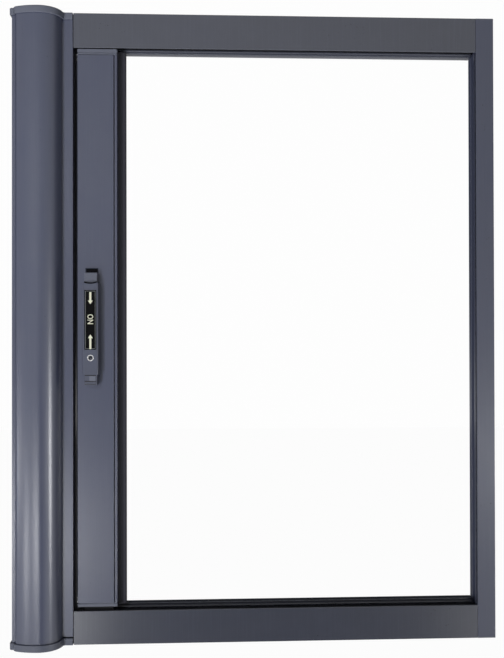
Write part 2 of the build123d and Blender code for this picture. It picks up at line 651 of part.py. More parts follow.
def make_handle_screw():
    """Pan head at the bottom of its recess."""
    head = forward_disc(HANDLE_FACE + SCREW_RECESS_DEPTH, SCREW_Z,
                        SCREW_HEAD_RADIUS, SCREW_HEAD_HEIGHT)
    return chamfer(head.edges().sort_by(Axis.Y)[0], SCREW_HEAD_BEVEL)


def latch_button(face, mouth):
    """Button that stands out above the mouth of its pocket, with its tail inside."""
    half = HANDLE_WIDTH / 2 - HANDLE_WALL - BUTTON_FIT
    button = block(HANDLE_X - half, HANDLE_X + half, face, BAR_FRONT - BUTTON_FIT,
                   mouth - BUTTON_TAIL, mouth + BUTTON_HEAD)
    button = fillet(upright_edges(button, y=face), BUTTON_ROUND)
    end = button.faces().sort_by(Axis.Z)[-1]
    front_edge = end.edges().filter_by(lambda edge: edge.center().Y < face + BUTTON_ROUND)
    return chamfer(front_edge, BUTTON_END_BEVEL)


def make_top_button():
    """Upper latch button, a plain head set back from the housing's face."""
    return latch_button(HANDLE_FACE + TOP_BUTTON_SETBACK, HANDLE_HIGH)


def make_bottom_button():
    """Lower latch button, with a groove across its pad and a step at its end."""
    face = HANDLE_FACE + HANDLE_WALL + BUTTON_FIT
    button = latch_button(face, -HANDLE_LOW)
    end = -HANDLE_LOW + BUTTON_HEAD
    groove = -HANDLE_LOW + GRIP_PAD
    half = HANDLE_WIDTH / 2
    button -= block(HANDLE_X - half, HANDLE_X + half, face, face + GRIP_GROOVE_DEPTH,
                    groove, groove + GRIP_GROOVE)
    button -= block(HANDLE_X - half, HANDLE_X + half, face, face + GRIP_STEP,
                    end - GRIP_STEP_HEIGHT, end)
    return upside_down(button)


def make_rear_pull():
    """Shallow finger pull on the bar's rear face."""
    low = HANDLE_CENTRE_Z - REAR_PULL_HEIGHT / 2
    high = HANDLE_CENTRE_Z + REAR_PULL_HEIGHT / 2
    half = REAR_PULL_WIDTH / 2
    middle = (BAR_LEFT + BAR_RIGHT) / 2
    pull = block(middle - half, middle + half, BAR_REAR, BAR_REAR + REAR_PULL_DEPTH, low, high)
    pull = fillet(upright_edges(pull, y=BAR_REAR + REAR_PULL_DEPTH), REAR_PULL_ROUND)
    scoop = block(middle - half, middle + half - REAR_PULL_WALL,
                  BAR_REAR + REAR_PULL_WALL, BAR_REAR + REAR_PULL_DEPTH,
                  low + REAR_PULL_WALL, high - REAR_PULL_WALL)
    return pull - scoop


def build_parts():
    """Every piece by its name."""
    cap = make_cassette_cap()
    bearing = make_bearing()
    rail_piles = make_rail_piles()
    rail_plugs = make_rail_plugs()
    return {
        "cassette_back_shell": make_back_shell(),
        "cassette_round_cover": make_round_cover(),
        "cassette_top_cap": cap,
        "cassette_bottom_cap": upside_down(cap),
        "cassette_slot_piles": make_slot_piles(),
        "roller_tube": make_roller_tube(),
        "roller_top_bearing": bearing,
        "roller_bottom_bearing": upside_down(bearing),
        "screen_roll": make_screen_roll(),
        "screen_mesh": make_screen_mesh(),
        "top_rail": make_top_rail(),
        "bottom_rail": make_bottom_rail(),
        "top_rail_piles": rail_piles,
        "bottom_rail_piles": [upside_down(strip) for strip in rail_piles],
        "top_rail_plugs": rail_plugs,
        "bottom_rail_plugs": [upside_down(plug) for plug in rail_plugs],
        "strike_jamb": make_strike_jamb(),
        "jamb_end_caps": make_jamb_end_caps(),
        "jamb_magnet_strip": make_jamb_magnet(),
        "jamb_pile": make_jamb_pile(),
        "pull_bar": make_pull_bar(),
        "pull_bar_top_cap": make_bar_top_cap(),
        "pull_bar_bottom_cap": make_bar_bottom_cap(),
        "top_guide_shoe": make_top_shoe(),
        "bottom_guide_shoe": make_bottom_shoe(),
        "closing_seal": make_closing_seal(),
        "mesh_spline": make_mesh_spline(),
        "handle_body": make_handle_body(),
        "handle_label": make_handle_label(),
        "handle_screw": make_handle_screw(),
        "top_button": make_top_button(),
        "bottom_button": make_bottom_button(),
        "rear_finger_pull": make_rear_pull(),
    }


def main():
    """Write one STEP file for each piece."""
    os.makedirs("parts", exist_ok=True)
    for name, shape in build_parts().items():
        solids = shape if isinstance(shape, list) else [shape]
        whole = solids[0] if len(solids) == 1 else Compound(children=solids)
        export_step(whole, f"parts/{name}.step")
    print(f"travel {TRAVEL:.1f} mm")


main()
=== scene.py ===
"""Looks of a short retractable insect screen door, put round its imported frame.

The frame says where every piece is: metres, +X from the cassette to the jamb, -Y the front
and +Z up, with the origin on the middle of the cassette's flat rear face.
"""

import json
import logging
import math
from dataclasses import dataclass, field
from enum import Enum
from typing import Any, Mapping, Sequence

import bmesh
import bpy
from mathutils import Matrix, Vector

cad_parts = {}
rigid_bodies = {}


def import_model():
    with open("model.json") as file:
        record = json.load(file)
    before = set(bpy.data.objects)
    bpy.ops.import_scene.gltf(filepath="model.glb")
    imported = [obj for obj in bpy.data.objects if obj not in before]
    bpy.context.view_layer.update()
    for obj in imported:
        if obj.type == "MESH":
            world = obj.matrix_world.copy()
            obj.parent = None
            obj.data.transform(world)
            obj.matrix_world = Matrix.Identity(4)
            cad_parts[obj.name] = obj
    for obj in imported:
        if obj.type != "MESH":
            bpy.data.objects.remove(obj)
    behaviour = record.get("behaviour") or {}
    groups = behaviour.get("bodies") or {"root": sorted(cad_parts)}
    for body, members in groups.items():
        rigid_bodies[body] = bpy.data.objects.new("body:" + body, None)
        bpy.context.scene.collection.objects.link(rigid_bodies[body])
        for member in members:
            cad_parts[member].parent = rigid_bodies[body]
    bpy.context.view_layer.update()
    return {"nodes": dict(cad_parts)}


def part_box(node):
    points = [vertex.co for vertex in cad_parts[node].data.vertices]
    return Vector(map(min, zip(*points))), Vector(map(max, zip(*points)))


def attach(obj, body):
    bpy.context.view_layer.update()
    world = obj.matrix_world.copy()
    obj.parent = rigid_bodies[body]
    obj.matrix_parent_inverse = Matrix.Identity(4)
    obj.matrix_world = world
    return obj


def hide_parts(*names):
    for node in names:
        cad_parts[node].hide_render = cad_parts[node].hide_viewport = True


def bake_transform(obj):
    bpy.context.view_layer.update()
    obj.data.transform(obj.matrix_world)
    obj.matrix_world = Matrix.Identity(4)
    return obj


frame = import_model()

MM = 0.001
SMOOTH_ANGLE = 34.0
LOG = logging.getLogger("screen_door")

Colour = tuple[float, float, float]
Point2 = tuple[float, float]


def srgb(red: float, green: float, blue: float) -> Colour:
    """Turn a colour of 0 to 255 as a screen shows it into linear light.

    Args:
        red: Red share, 0 to 255.
        green: Green share, 0 to 255.
        blue: Blue share, 0 to 255.

    Returns:
        The three linear shares, 0 to 1.
    """
    def linear(share: float) -> float:
        """One share in linear light."""
        level = share / 255
        return level / 12.92 if level <= 0.04045 else ((level + 0.055) / 1.055) ** 2.4

    return linear(red), linear(green), linear(blue)


def low(node: str) -> Vector:
    """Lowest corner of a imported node."""
    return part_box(node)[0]


def high(node: str) -> Vector:
    """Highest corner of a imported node."""
    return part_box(node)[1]


def middle(node: str) -> Vector:
    """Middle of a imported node's box."""
    return (low(node) + high(node)) / 2


def front_at(depth: float) -> Matrix:
    """A place on the plane y = depth, with x to the right, y up and z out to the front."""
    return Matrix.Translation((0.0, depth, 0.0)) @ Matrix.Rotation(math.pi / 2, 4, "X")


def linked(name: str, data: bpy.types.ID) -> bpy.types.Object:
    """Put a new object in the scene.

    Args:
        name: The object's name.
        data: Its mesh, light or camera.

    Returns:
        The object.
    """
    made = bpy.data.objects.new(name, data)
    bpy.context.scene.collection.objects.link(made)
    return made


def stroke(start: Point2, stop: Point2, width: float) -> list[Point2]:
    """Outline of a straight stroke between two points.

    Args:
        start: The middle of its one end.
        stop: The middle of its other end.
        width: How wide it is.

    Returns:
        Its four corners.
    """
    first, last = Vector(start), Vector(stop)
    way = (last - first).normalized()
    side = Vector((-way.y, way.x)) * width / 2
    return [(corner.x, corner.y) for corner in (first - side, last - side, last + side, first + side)]


class Body(Enum):
    """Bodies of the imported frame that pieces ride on."""

    FRAME = "frame"
    PULL_BAR = "pull_bar"
    TOP_BUTTON = "top_button"
    BOTTOM_BUTTON = "bottom_button"


class End(Enum):
    """The two ends of the door, by the sign of their height."""

    TOP = 1
    BOTTOM = -1

    @property
    def word(self) -> str:
        """The end's name as the nodes have it."""
        return self.name.lower()


class Term:
    """A socket of a node tree that Python arithmetic works on."""

    def __init__(self, maker: "TreeMaker", socket: bpy.types.NodeSocket) -> None:
        """Wrap a socket.

        Args:
            maker: The tree's maker, which adds the Math nodes.
            socket: The output socket that holds the value.
        """
        self.maker = maker
        self.socket = socket

    def _math(self, operation: str, first: Any, second: Any = None) -> "Term":
        """Add one Math node.

        Args:
            operation: The Math node's operation.
            first: Its first value, a number or a term.
            second: Its second value, where it has one.

        Returns:
            The node's result.
        """
        values = {0: first} if second is None else {0: first, 1: second}
        return self.maker.term("ShaderNodeMath", {"operation": operation}, values)

    def __add__(self, other: Any) -> "Term":
        """Sum."""
        return self._math("ADD", self, other)

    def __radd__(self, other: Any) -> "Term":
        """Sum with a number on the left."""
        return self._math("ADD", other, self)

    def __sub__(self, other: Any) -> "Term":
        """Difference."""
        return self._math("SUBTRACT", self, other)

    def __rsub__(self, other: Any) -> "Term":
        """Difference from a number."""
        return self._math("SUBTRACT", other, self)

    def __mul__(self, other: Any) -> "Term":
        """Product."""
        return self._math("MULTIPLY", self, other)

    def __rmul__(self, other: Any) -> "Term":
        """Product with a number on the left."""
        return self._math("MULTIPLY", other, self)

    def greatest(self, other: Any) -> "Term":
        """The greater of two values."""
        return self._math("MAXIMUM", self, other)

    def wave(self) -> "Term":
        """The sine of the value."""
        return self._math("SINE", self)

    def between(self, start: float, stop: float) -> "Term":
        """A smooth step.

        Args:
            start: Where the step is still 0.
            stop: Where the step has reached 1.

        Returns:
            The step's height, 0 to 1.
        """
        return self.maker.term("ShaderNodeMapRange", {"interpolation_type": "SMOOTHSTEP"},
                               {"Value": self, "From Min": start, "From Max": stop})


class TreeMaker:
    """Adds nodes to one node tree."""

    def __init__(self, tree: bpy.types.NodeTree) -> None:
        """Start on an empty tree.

        Args:
            tree: The tree that gets the nodes.
        """
        self.tree = tree
        self.tree.nodes.clear()

    def node(self, kind: str, settings: Mapping[str, Any] | None = None,
             inputs: Mapping[Any, Any] | None = None) -> bpy.types.Node:
        """Add any node.

        Args:
            kind: The node's type name.
            settings: Its settings, put in first.
            inputs: Values, terms or sockets for its inputs, by name or by number.

        Returns:
            The new node.
        """
        made = self.tree.nodes.new(kind)
        for key, setting in (settings or {}).items():
            setattr(made, key, setting)
        for key, value in (inputs or {}).items():
            source = value.socket if isinstance(value, Term) else value
            if isinstance(source, bpy.types.NodeSocket):
                self.tree.links.new(source, made.inputs[key])
            elif made.inputs[key].type == "RGBA":
                made.inputs[key].default_value = (*source[:3], 1.0)
            else:
                made.inputs[key].default_value = source
        return made

    def term(self, kind: str, settings: Mapping[str, Any] | None = None,
             inputs: Mapping[Any, Any] | None = None, output: Any = 0) -> Term:
        """Add any node and wrap one of its outputs.

        Args:
            kind: The node's type name.
            settings: Its settings.
            inputs: Its inputs.
            output: The output's name or number.

        Returns:
            The output as a term.
        """
        return Term(self, self.node(kind, settings, inputs).outputs[output])


class Paint(TreeMaker):
    """Builds one material."""

    def __init__(self, name: str) -> None:
        """Start a material.

        Args:
            name: The material's name.
        """
        self.material = bpy.data.materials.new(name)
        self.material.use_nodes = True
        super().__init__(self.material.node_tree)
        self.place = self.node("ShaderNodeTexCoord").outputs["Object"]

    def stretched(self, scale: Sequence[float]) -> bpy.types.NodeSocket:
        """Object coordinates with each axis scaled by itself.

        Args:
            scale: How many times each axis is multiplied.

        Returns:
            The scaled coordinates.
        """
        mapping = self.node("ShaderNodeMapping", None, {"Vector": self.place, "Scale": scale})
        return mapping.outputs[0]

    def noise(self, scale: float, detail: float = 2.0, rough: float = 0.5,
              place: bpy.types.NodeSocket | None = None) -> Term:
        """Cloudy noise.

        Args:
            scale: Clouds in a metre.
            detail: Octaves of finer clouds.
            rough: How strong the finer clouds are.
            place: Coordinates, where they aren't the object's own.

        Returns:
            The noise, about 0.5 in the mean.
        """
        return self.term("ShaderNodeTexNoise", None, {
            "Vector": place or self.place, "Scale": scale, "Detail": detail, "Roughness": rough})

    def axis(self, number: int) -> Term:
        """One of the object's coordinates, in metres: 0 for x, 1 for y, 2 for z."""
        return self.term("ShaderNodeSeparateXYZ", None, {0: self.place}, number)

    def blend(self, share: Any, first: Any, second: Any) -> Term:
        """Mix two colours.

        Args:
            share: How much of the second colour, 0 to 1.
            first: A colour or a term.
            second: A colour or a term.

        Returns:
            The mixed colour.
        """
        return self.term("ShaderNodeMix", {"data_type": "RGBA"},
                         {"Factor": share, 6: first, 7: second}, 2)

    def bump(self, height: Term, depth: float) -> bpy.types.NodeSocket:
        """A bumped normal.

        Args:
            height: Height from 0 to 1.
            depth: What a height of 1 is, in metres.

        Returns:
            The normal.
        """
        bumped = self.node("ShaderNodeBump", None, {
            "Strength": 1.0, "Distance": depth, "Height": height})
        return bumped.outputs[0]

    def finish(self, **sockets: Any) -> bpy.types.Material:
        """Close the tree with a Principled shader.

        Args:
            **sockets: The shader's inputs, with underscores for blanks.

        Returns:
            The finished material.
        """
        inputs = {name.replace("_", " "): value for name, value in sockets.items()}
        shader = self.node("ShaderNodeBsdfPrincipled", None, inputs)
        self.node("ShaderNodeOutputMaterial", None, {"Surface": shader.outputs[0]})
        return self.material


@dataclass(frozen=True)
class Finish:
    """A surface finish and the record's slot that it belongs to."""

    name: str
    slot: str
    colour: Colour

    def build(self) -> bpy.types.Material:
        """A plain version, which every real finish replaces."""
        return Paint(self.name).finish(Base_Color=self.colour)

    def material(self) -> bpy.types.Material:
        """The finish's material, built at its first use."""
        return bpy.data.materials.get(self.name) or self.build()


@dataclass(frozen=True)
class PowderCoat(Finish):
    """Satin powder coat: orange peel, faint clouding, dust specks and a few handling marks."""

    cloud: Colour = srgb(75, 79, 95)
    drift: Colour = srgb(120, 122, 130)
    die_line: Colour = srgb(110, 114, 130)
    speck: Colour = srgb(40, 42, 52)
    roughness: float = 0.277
    shine: float = 0.85
    peel: float = 3e-6

    def build(self) -> bpy.types.Material:
        """Build the coat.

        Returns:
            Its material.
        """
        paint = Paint(self.name)
        clouds = paint.noise(11.0, 3.0, 0.55).between(0.36, 0.66)
        drift = paint.noise(45.0, 2.0, 0.6).between(0.35, 0.75)
        colour = paint.blend(clouds * 0.25, self.colour, self.cloud)
        colour = paint.blend(drift * 0.03, colour, self.drift)
        drawn = paint.noise(1.0, 3.0, 0.55, paint.stretched((900.0, 900.0, 14.0)))
        colour = paint.blend(drawn.between(0.45, 0.8) * 0.09, colour, self.die_line)
        dust = paint.noise(420.0, 1.0, 0.4).between(0.745, 0.77)
        dusty = paint.noise(14.0, 2.0, 0.5).between(0.52, 0.62)
        colour = paint.blend(dust * dusty * 0.8, colour, self.speck)
        handled = paint.noise(12.0, 2.0, 0.5).between(0.3, 0.8)
        rough = self.roughness + handled * 0.012
        normal = paint.bump(paint.noise(620.0, 2.0, 0.45), self.peel)
        return paint.finish(Base_Color=colour, Roughness=rough, Specular_IOR_Level=self.shine,
                            Normal=normal)


@dataclass(frozen=True)
class MouldedPlastic(Finish):
    """Moulded plastic with a fine spark-eroded grain and a slight sheen where it is touched."""

    roughness: float = 0.42
    grain: float = 9e-6

    def build(self) -> bpy.types.Material:
        """Build the plastic.

        Returns:
            Its material.
        """
        paint = Paint(self.name)
        touched = paint.noise(60.0, 3.0, 0.6).between(0.4, 0.7)
        colour = paint.blend(touched * 0.25, self.colour,
                             tuple(min(1.0, share * 1.25) for share in self.colour))
        pits = paint.noise(2600.0, 2.0, 0.6)
        return paint.finish(Base_Color=colour, Roughness=self.roughness - touched * 0.06,
                            Normal=paint.bump(pits, self.grain))


@dataclass(frozen=True)
class Rubber(Finish):
    """Extruded rubber with faint lengthwise flow lines and a little dust."""

    dust: Colour = srgb(96, 96, 100)

    def build(self) -> bpy.types.Material:
        """Build the rubber.

        Returns:
            Its material.
        """
        paint = Paint(self.name)
        flow = paint.noise(1.0, 2.0, 0.5, paint.stretched((1500.0, 1500.0, 10.0)))
        dusty = paint.noise(90.0, 5.0, 0.7).between(0.55, 0.8)
        colour = paint.blend(dusty * 0.22, self.colour, self.dust)
        return paint.finish(Base_Color=colour, Roughness=0.5 + dusty * 0.15, Specular_IOR_Level=1.0,
                            Normal=paint.bump(flow, 1.2e-5))


@dataclass(frozen=True)
class Fibre(Finish):
    """Crimped pile fibre, lighter at some tips than at others."""

    def build(self) -> bpy.types.Material:
        """Build the fibre.

        Returns:
            Its material.
        """
        paint = Paint(self.name)
        strand = paint.noise(1900.0, 1.0, 0.5).between(0.35, 0.7)
        colour = paint.blend(strand, self.colour, tuple(2.3 * share for share in self.colour))
        return paint.finish(Base_Color=colour, Roughness=0.8)


@dataclass(frozen=True)
class BareAluminium(Finish):
    """Drawn aluminium tube with lengthwise die lines."""

    def build(self) -> bpy.types.Material:
        """Build the metal.

        Returns:
            Its material.
        """
        paint = Paint(self.name)
        lines = paint.noise(1.0, 3.0, 0.6, paint.stretched((2200.0, 2200.0, 6.0)))
        dull = paint.noise(30.0, 3.0, 0.6).between(0.4, 0.7)
        return paint.finish(Base_Color=self.colour, Metallic=1.0,
                            Roughness=0.32 + dull * 0.14, Normal=paint.bump(lines, 4e-6))


@dataclass(frozen=True)
class Plated(Finish):
    """Bright zinc plate, a little cloudy; where it is less than fully metal, its pale colour paints
    part of its shine.
    """

    metallic: float = 1.0

    def build(self) -> bpy.types.Material:
        """Build the plate.

        Returns:
            Its material.
        """
        paint = Paint(self.name)
        cloudy = paint.noise(900.0, 3.0, 0.6).between(0.4, 0.75)
        return paint.finish(Base_Color=self.colour, Metallic=self.metallic,
                            Roughness=0.18 + cloudy * 0.16,
                            Normal=paint.bump(paint.noise(3000.0, 2.0), 3e-6))


@dataclass(frozen=True)
class LabelFilm(Finish):
    """Smooth dark film with fine hairline scratches, for the label and for plates of painted shade."""

    def build(self) -> bpy.types.Material:
        """Build the film.

        Returns:
            Its material.
        """
        paint = Paint(self.name)
        hair = paint.noise(1.0, 3.0, 0.6, paint.stretched((260.0, 260.0, 3800.0)))
        worn = paint.noise(160.0, 3.0, 0.6).between(0.45, 0.75)
        return paint.finish(Base_Color=self.colour, Roughness=0.3 + worn * 0.16,
                            Specular_IOR_Level=0.08, Normal=paint.bump(hair, 2e-6))


@dataclass(frozen=True)
class Ink(Finish):
    """Thick printed ink, slightly uneven."""

    def build(self) -> bpy.types.Material:
        """Build the ink.

        Returns:
            Its material.
        """
        paint = Paint(self.name)
        thin = paint.noise(1400.0, 3.0, 0.6).between(0.5, 0.8)
        colour = paint.blend(thin * 0.25, self.colour, tuple(0.6 * share for share in self.colour))
        return paint.finish(Base_Color=colour, Roughness=0.5,
                            Normal=paint.bump(paint.noise(2600.0, 2.0), 4e-6))


@dataclass(frozen=True)
class ScreenCloth(Finish):
    """Plain-woven coated yarn with open holes between the threads."""

    pitch: float = 1.4 * MM
    thread: float = 0.3 * MM
    edge: float = 0.02

    def build(self) -> bpy.types.Material:
        """Build the cloth.

        Returns:
            Its material.
        """
        paint = Paint(self.name)
        turn = 2 * math.pi / self.pitch
        half = math.cos(math.pi * self.thread / self.pitch)
        warp = (paint.axis(0) * turn + math.pi / 2).wave()
        weft = (paint.axis(2) * turn + math.pi / 2).wave()
        thin, full = half - self.edge, half + self.edge
        cover = warp.between(thin, full).greatest(weft.between(thin, full))
        over = (paint.axis(0) * (turn / 2)).wave() * (paint.axis(2) * (turn / 2)).wave()
        height = warp.greatest(weft) + over * 0.4
        uneven = paint.noise(70.0, 3.0, 0.6).between(0.35, 0.7)
        colour = paint.blend(uneven * 0.4, self.colour, tuple(1.5 * share for share in self.colour))
        return paint.finish(Base_Color=colour, Roughness=0.55, Alpha=cover,
                            Normal=paint.bump(height, 6e-5))


SLATE_COAT = PowderCoat("slate_powder_coat", "powder_coat", srgb(72, 77, 98))
RAIL_COAT = PowderCoat("slate_rail_coat", "powder_coat", srgb(75, 78, 90), roughness=0.2)
CAP_MOULDING = MouldedPlastic("slate_cap_moulding", "cap_plastic", srgb(99, 103, 117))
# A darker copy of the cap moulding for the bottom cap: the difference is painted shade.
SHADED_FOOT_CAP = MouldedPlastic("slate_foot_moulding", "cap_plastic", srgb(84, 88, 102))
HANDLE_MOULDING = MouldedPlastic("slate_handle_moulding", "handle_plastic", srgb(78, 82, 98))
BUTTON_MOULDING = MouldedPlastic("slate_button_moulding", "handle_plastic", srgb(98, 102, 116))
LIGHT_MOULDING = MouldedPlastic("pale_button_moulding", "handle_plastic", srgb(104, 108, 122))
PILE = Fibre("charcoal_pile", "brush_pile", srgb(24, 26, 34))
PILE_BACKING = MouldedPlastic("pile_backing", "brush_pile", srgb(30, 31, 36))
TUBE_METAL = BareAluminium("drawn_aluminium", "bare_aluminium", srgb(190, 192, 196))
NYLON = MouldedPlastic("black_nylon", "black_nylon", srgb(24, 26, 34), roughness=0.48)
CLOTH = ScreenCloth("charcoal_screen_cloth", "screen_cloth", srgb(38, 39, 43))
MAGNET = Rubber("magnet_strip_rubber", "magnet_rubber", srgb(38, 38, 42))
SEAL = Rubber("seal_rubber", "seal_rubber", srgb(84, 89, 114))
# Only partly metal: its near-white colour paints the bright reflection of the washer and the cap
# screws.
PLATE = Plated("bright_zinc_plate", "plated_steel", srgb(252, 252, 254), metallic=0.4)
DARK_STEEL = Plated("dark_plated_steel", "plated_steel", srgb(84, 85, 92))
FILM = LabelFilm("label_black_film", "label_black", srgb(11, 11, 12))
# Near-black film for the dark strips and plates that are painted shade and shadow.
PAINTED_SHADE = LabelFilm("recess_black", "black_nylon", srgb(13, 14, 20))
# A dark slate film for the soft edge of the painted shadow above the upper button.
PENUMBRA_FILM = LabelFilm("slot_rim_slate", "handle_plastic", srgb(52, 55, 66))
CREAM_INK = Ink("cream_ink", "label_black", srgb(228, 228, 206))
# Pale ink for the label's border, which paints the highlight along the plate's edge.
BORDER_HIGHLIGHT_INK = Ink("border_ink", "label_black", srgb(150, 154, 156))


def standing(name: str, mesh: bpy.types.Mesh, body: Body, finish: Finish,
             replaces: Sequence[str] = ()) -> bpy.types.Object:
    """Put a finished mesh in the scene as a piece of the door.

    Args:
        name: The piece's name.
        mesh: Its mesh, in the frame's own coordinates.
        body: The body that it rides on.
        finish: Its finish.
        replaces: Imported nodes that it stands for.

    Returns:
        The piece.
    """
    piece = linked(name, mesh)
    mesh.materials.clear()
    mesh.materials.append(finish.material())
    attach(piece, body.value)
    if replaces:
        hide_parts(*replaces)
    LOG.info("%s: %d faces on %s", name, len(mesh.polygons), body.value)
    return piece


def smoothed(mesh: bpy.types.Mesh, angle: float = SMOOTH_ANGLE) -> bpy.types.Mesh:
    """Shade a mesh smooth.

    Args:
        mesh: The mesh.
        angle: Edges sharper than this stay sharp, in degrees.

    Returns:
        The same mesh.
    """
    mesh.shade_smooth()
    mesh.set_sharp_from_angle(angle=math.radians(angle))
    return mesh


class Dresser:
    """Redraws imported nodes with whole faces, eased edges and smooth rounds."""

    WELD = 2e-6
    NEAR = 0.05 * MM
    FLAT = math.radians(0.25)
    SHARP = math.radians(50)
    EASE_STEPS = 2
    LIP_STEPS = 5

    def welded(self, node: str) -> bmesh.types.BMesh:
        """Join a node's loose triangles into whole faces.

        Args:
            node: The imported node.

        Returns:
            A joined copy of its mesh.
        """
        mesh = bmesh.new()
        mesh.from_mesh(frame["nodes"][node].data)
        bmesh.ops.remove_doubles(mesh, verts=mesh.verts, dist=self.WELD)
        bmesh.ops.dissolve_limit(mesh, angle_limit=self.FLAT, verts=mesh.verts, edges=mesh.edges)
        return mesh

    def _doorway_edges(self, mesh: bmesh.types.BMesh) -> list[bmesh.types.BMEdge]:
        """Find the edges of a rail's front face nearest the doorway.

        Args:
            mesh: The rail's mesh.

        Returns:
            The edges.
        """
        front = min(vert.co.y for vert in mesh.verts) + self.NEAR
        inner = min(abs(vert.co.z) for vert in mesh.verts if vert.co.y < front) + self.NEAR
        return [edge for edge in mesh.edges
                if all(vert.co.y < front and abs(vert.co.z) < inner for vert in edge.verts)]

    @staticmethod
    def _rounded(mesh: bmesh.types.BMesh, edges: list[bmesh.types.BMEdge], width: float,
                 steps: int) -> None:
        """Round edges off."""
        bmesh.ops.bevel(mesh, geom=edges, offset=width, offset_type="OFFSET", segments=steps,
                        profile=0.5, affect="EDGES", clamp_overlap=False)

    def redraw(self, node: str, body: Body, finish: Finish, ease: float = 0.25 * MM,
               least: float = 1.2 * MM, lip: float = 0.0) -> None:
        """Put a redrawn piece in the scene, in place of a node.

        Args:
            node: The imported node.
            body: The body that it belongs to.
            finish: Its finish.
            ease: Width of the eased edges, or 0 for none.
            least: The shortest edge that is eased.
            lip: Radius of the front edge that faces the doorway, or 0 for one like the others.
        """
        mesh = self.welded(node)
        if lip:
            self._rounded(mesh, self._doorway_edges(mesh), lip, self.LIP_STEPS)
        if ease:
            sharp = [edge for edge in mesh.edges
                     if edge.is_manifold and edge.is_convex
                     and edge.calc_face_angle(0.0) > self.SHARP and edge.calc_length() > least]
            self._rounded(mesh, sharp, ease, self.EASE_STEPS)
        data = bpy.data.meshes.new(f"{node}_dressed")
        mesh.to_mesh(data)
        mesh.free()
        piece = standing(data.name, smoothed(data), body, finish, [node])
        weighted = piece.modifiers.new("even_rounds", "WEIGHTED_NORMAL")
        weighted.keep_sharp = True
        weighted.weight = 100


class Solid:
    """A mesh that grows by extruded and turned shapes."""

    def __init__(self) -> None:
        """Start with nothing."""
        self.mesh = bmesh.new()

    def prism(self, outline: Sequence[Point2], depth: float, place: Matrix) -> "Solid":
        """Add an outline drawn in x and y and run up z.

        Args:
            outline: The outline's points, counter-clockwise, in metres.
            depth: How far it runs.
            place: Where it goes.

        Returns:
            The solid itself.
        """
        floor = [self.mesh.verts.new(place @ Vector((x, y, 0.0))) for x, y in outline]
        roof = [self.mesh.verts.new(place @ Vector((x, y, depth))) for x, y in outline]
        self.mesh.faces.new(list(reversed(floor)))
        self.mesh.faces.new(roof)
        self.wall(floor, roof)
        return self

    def slab(self, lowest: Point2, highest: Point2, depth: float, place: Matrix) -> "Solid":
        """Add a rectangle drawn in x and y and run up z.

        Args:
            lowest: Its corner at the lower left.
            highest: Its corner at the upper right.
            depth: How far it runs.
            place: Where it goes.

        Returns:
            The solid itself.
        """
        (left, bottom), (right, top) = lowest, highest
        return self.prism([(left, bottom), (right, bottom), (right, top), (left, top)], depth, place)

    def wall(self, first: Sequence[bmesh.types.BMVert], second: Sequence[bmesh.types.BMVert]) -> None:
        """Join two loops of as many points.

        Args:
            first: The one loop.
            second: The other loop.
        """
        for index, corner in enumerate(first):
            after = (index + 1) % len(first)
            self.mesh.faces.new((corner, first[after], second[after], second[index]))

    def ring(self, radius: float, height: float, place: Matrix, steps: int) -> list[bmesh.types.BMVert]:
        """Add a ring of points about z.

        Args:
            radius: Its radius.
            height: Its height.
            place: Where it goes.
            steps: How many points it has.

        Returns:
            The points in order.
        """
        angles = [2 * math.pi * step / steps for step in range(steps)]
        return [self.mesh.verts.new(place @ Vector((radius * math.cos(angle), radius * math.sin(angle),
                                                    height))) for angle in angles]

    def turned(self, profile: Sequence[Point2], place: Matrix, steps: int) -> "Solid":
        """Add a washer, turned about z.

        Args:
            profile: Points of radius and height round its section.
            place: Where it goes.
            steps: Facets round it.

        Returns:
            The solid itself.
        """
        rings = [self.ring(radius, height, place, steps) for radius, height in profile]
        for inner, outer in zip(rings, rings[1:] + rings[:1]):
            self.wall(inner, outer)
        return self

    def done(self, name: str, angle: float = SMOOTH_ANGLE) -> bpy.types.Mesh:
        """Close the solid.

        Args:
            name: The mesh's name.
            angle: Edges sharper than this stay sharp, in degrees.

        Returns:
            The mesh, with its faces pointing outwards.
        """
        bmesh.ops.recalc_face_normals(self.mesh, faces=self.mesh.faces)
        data = bpy.data.meshes.new(name)
        self.mesh.to_mesh(data)
        self.mesh.free()
        return smoothed(data, angle)

    def stand(self, name: str, body: Body, finish: Finish, replaces: Sequence[str] = (),
              angle: float = SMOOTH_ANGLE) -> None:
        """Close the solid and put it in the scene as a piece of the door."""
        standing(name, self.done(name, angle), body, finish, replaces)


def facing(origin: Vector, normal: Vector) -> Matrix:
    """A place whose z looks along a normal.

    Args:
        origin: Where it is.
        normal: Where its z axis points.

    Returns:
        The place as a matrix.
    """
    turn = normal.to_track_quat("Z", "Y").to_matrix().to_4x4()
    return Matrix.Translation(origin) @ turn


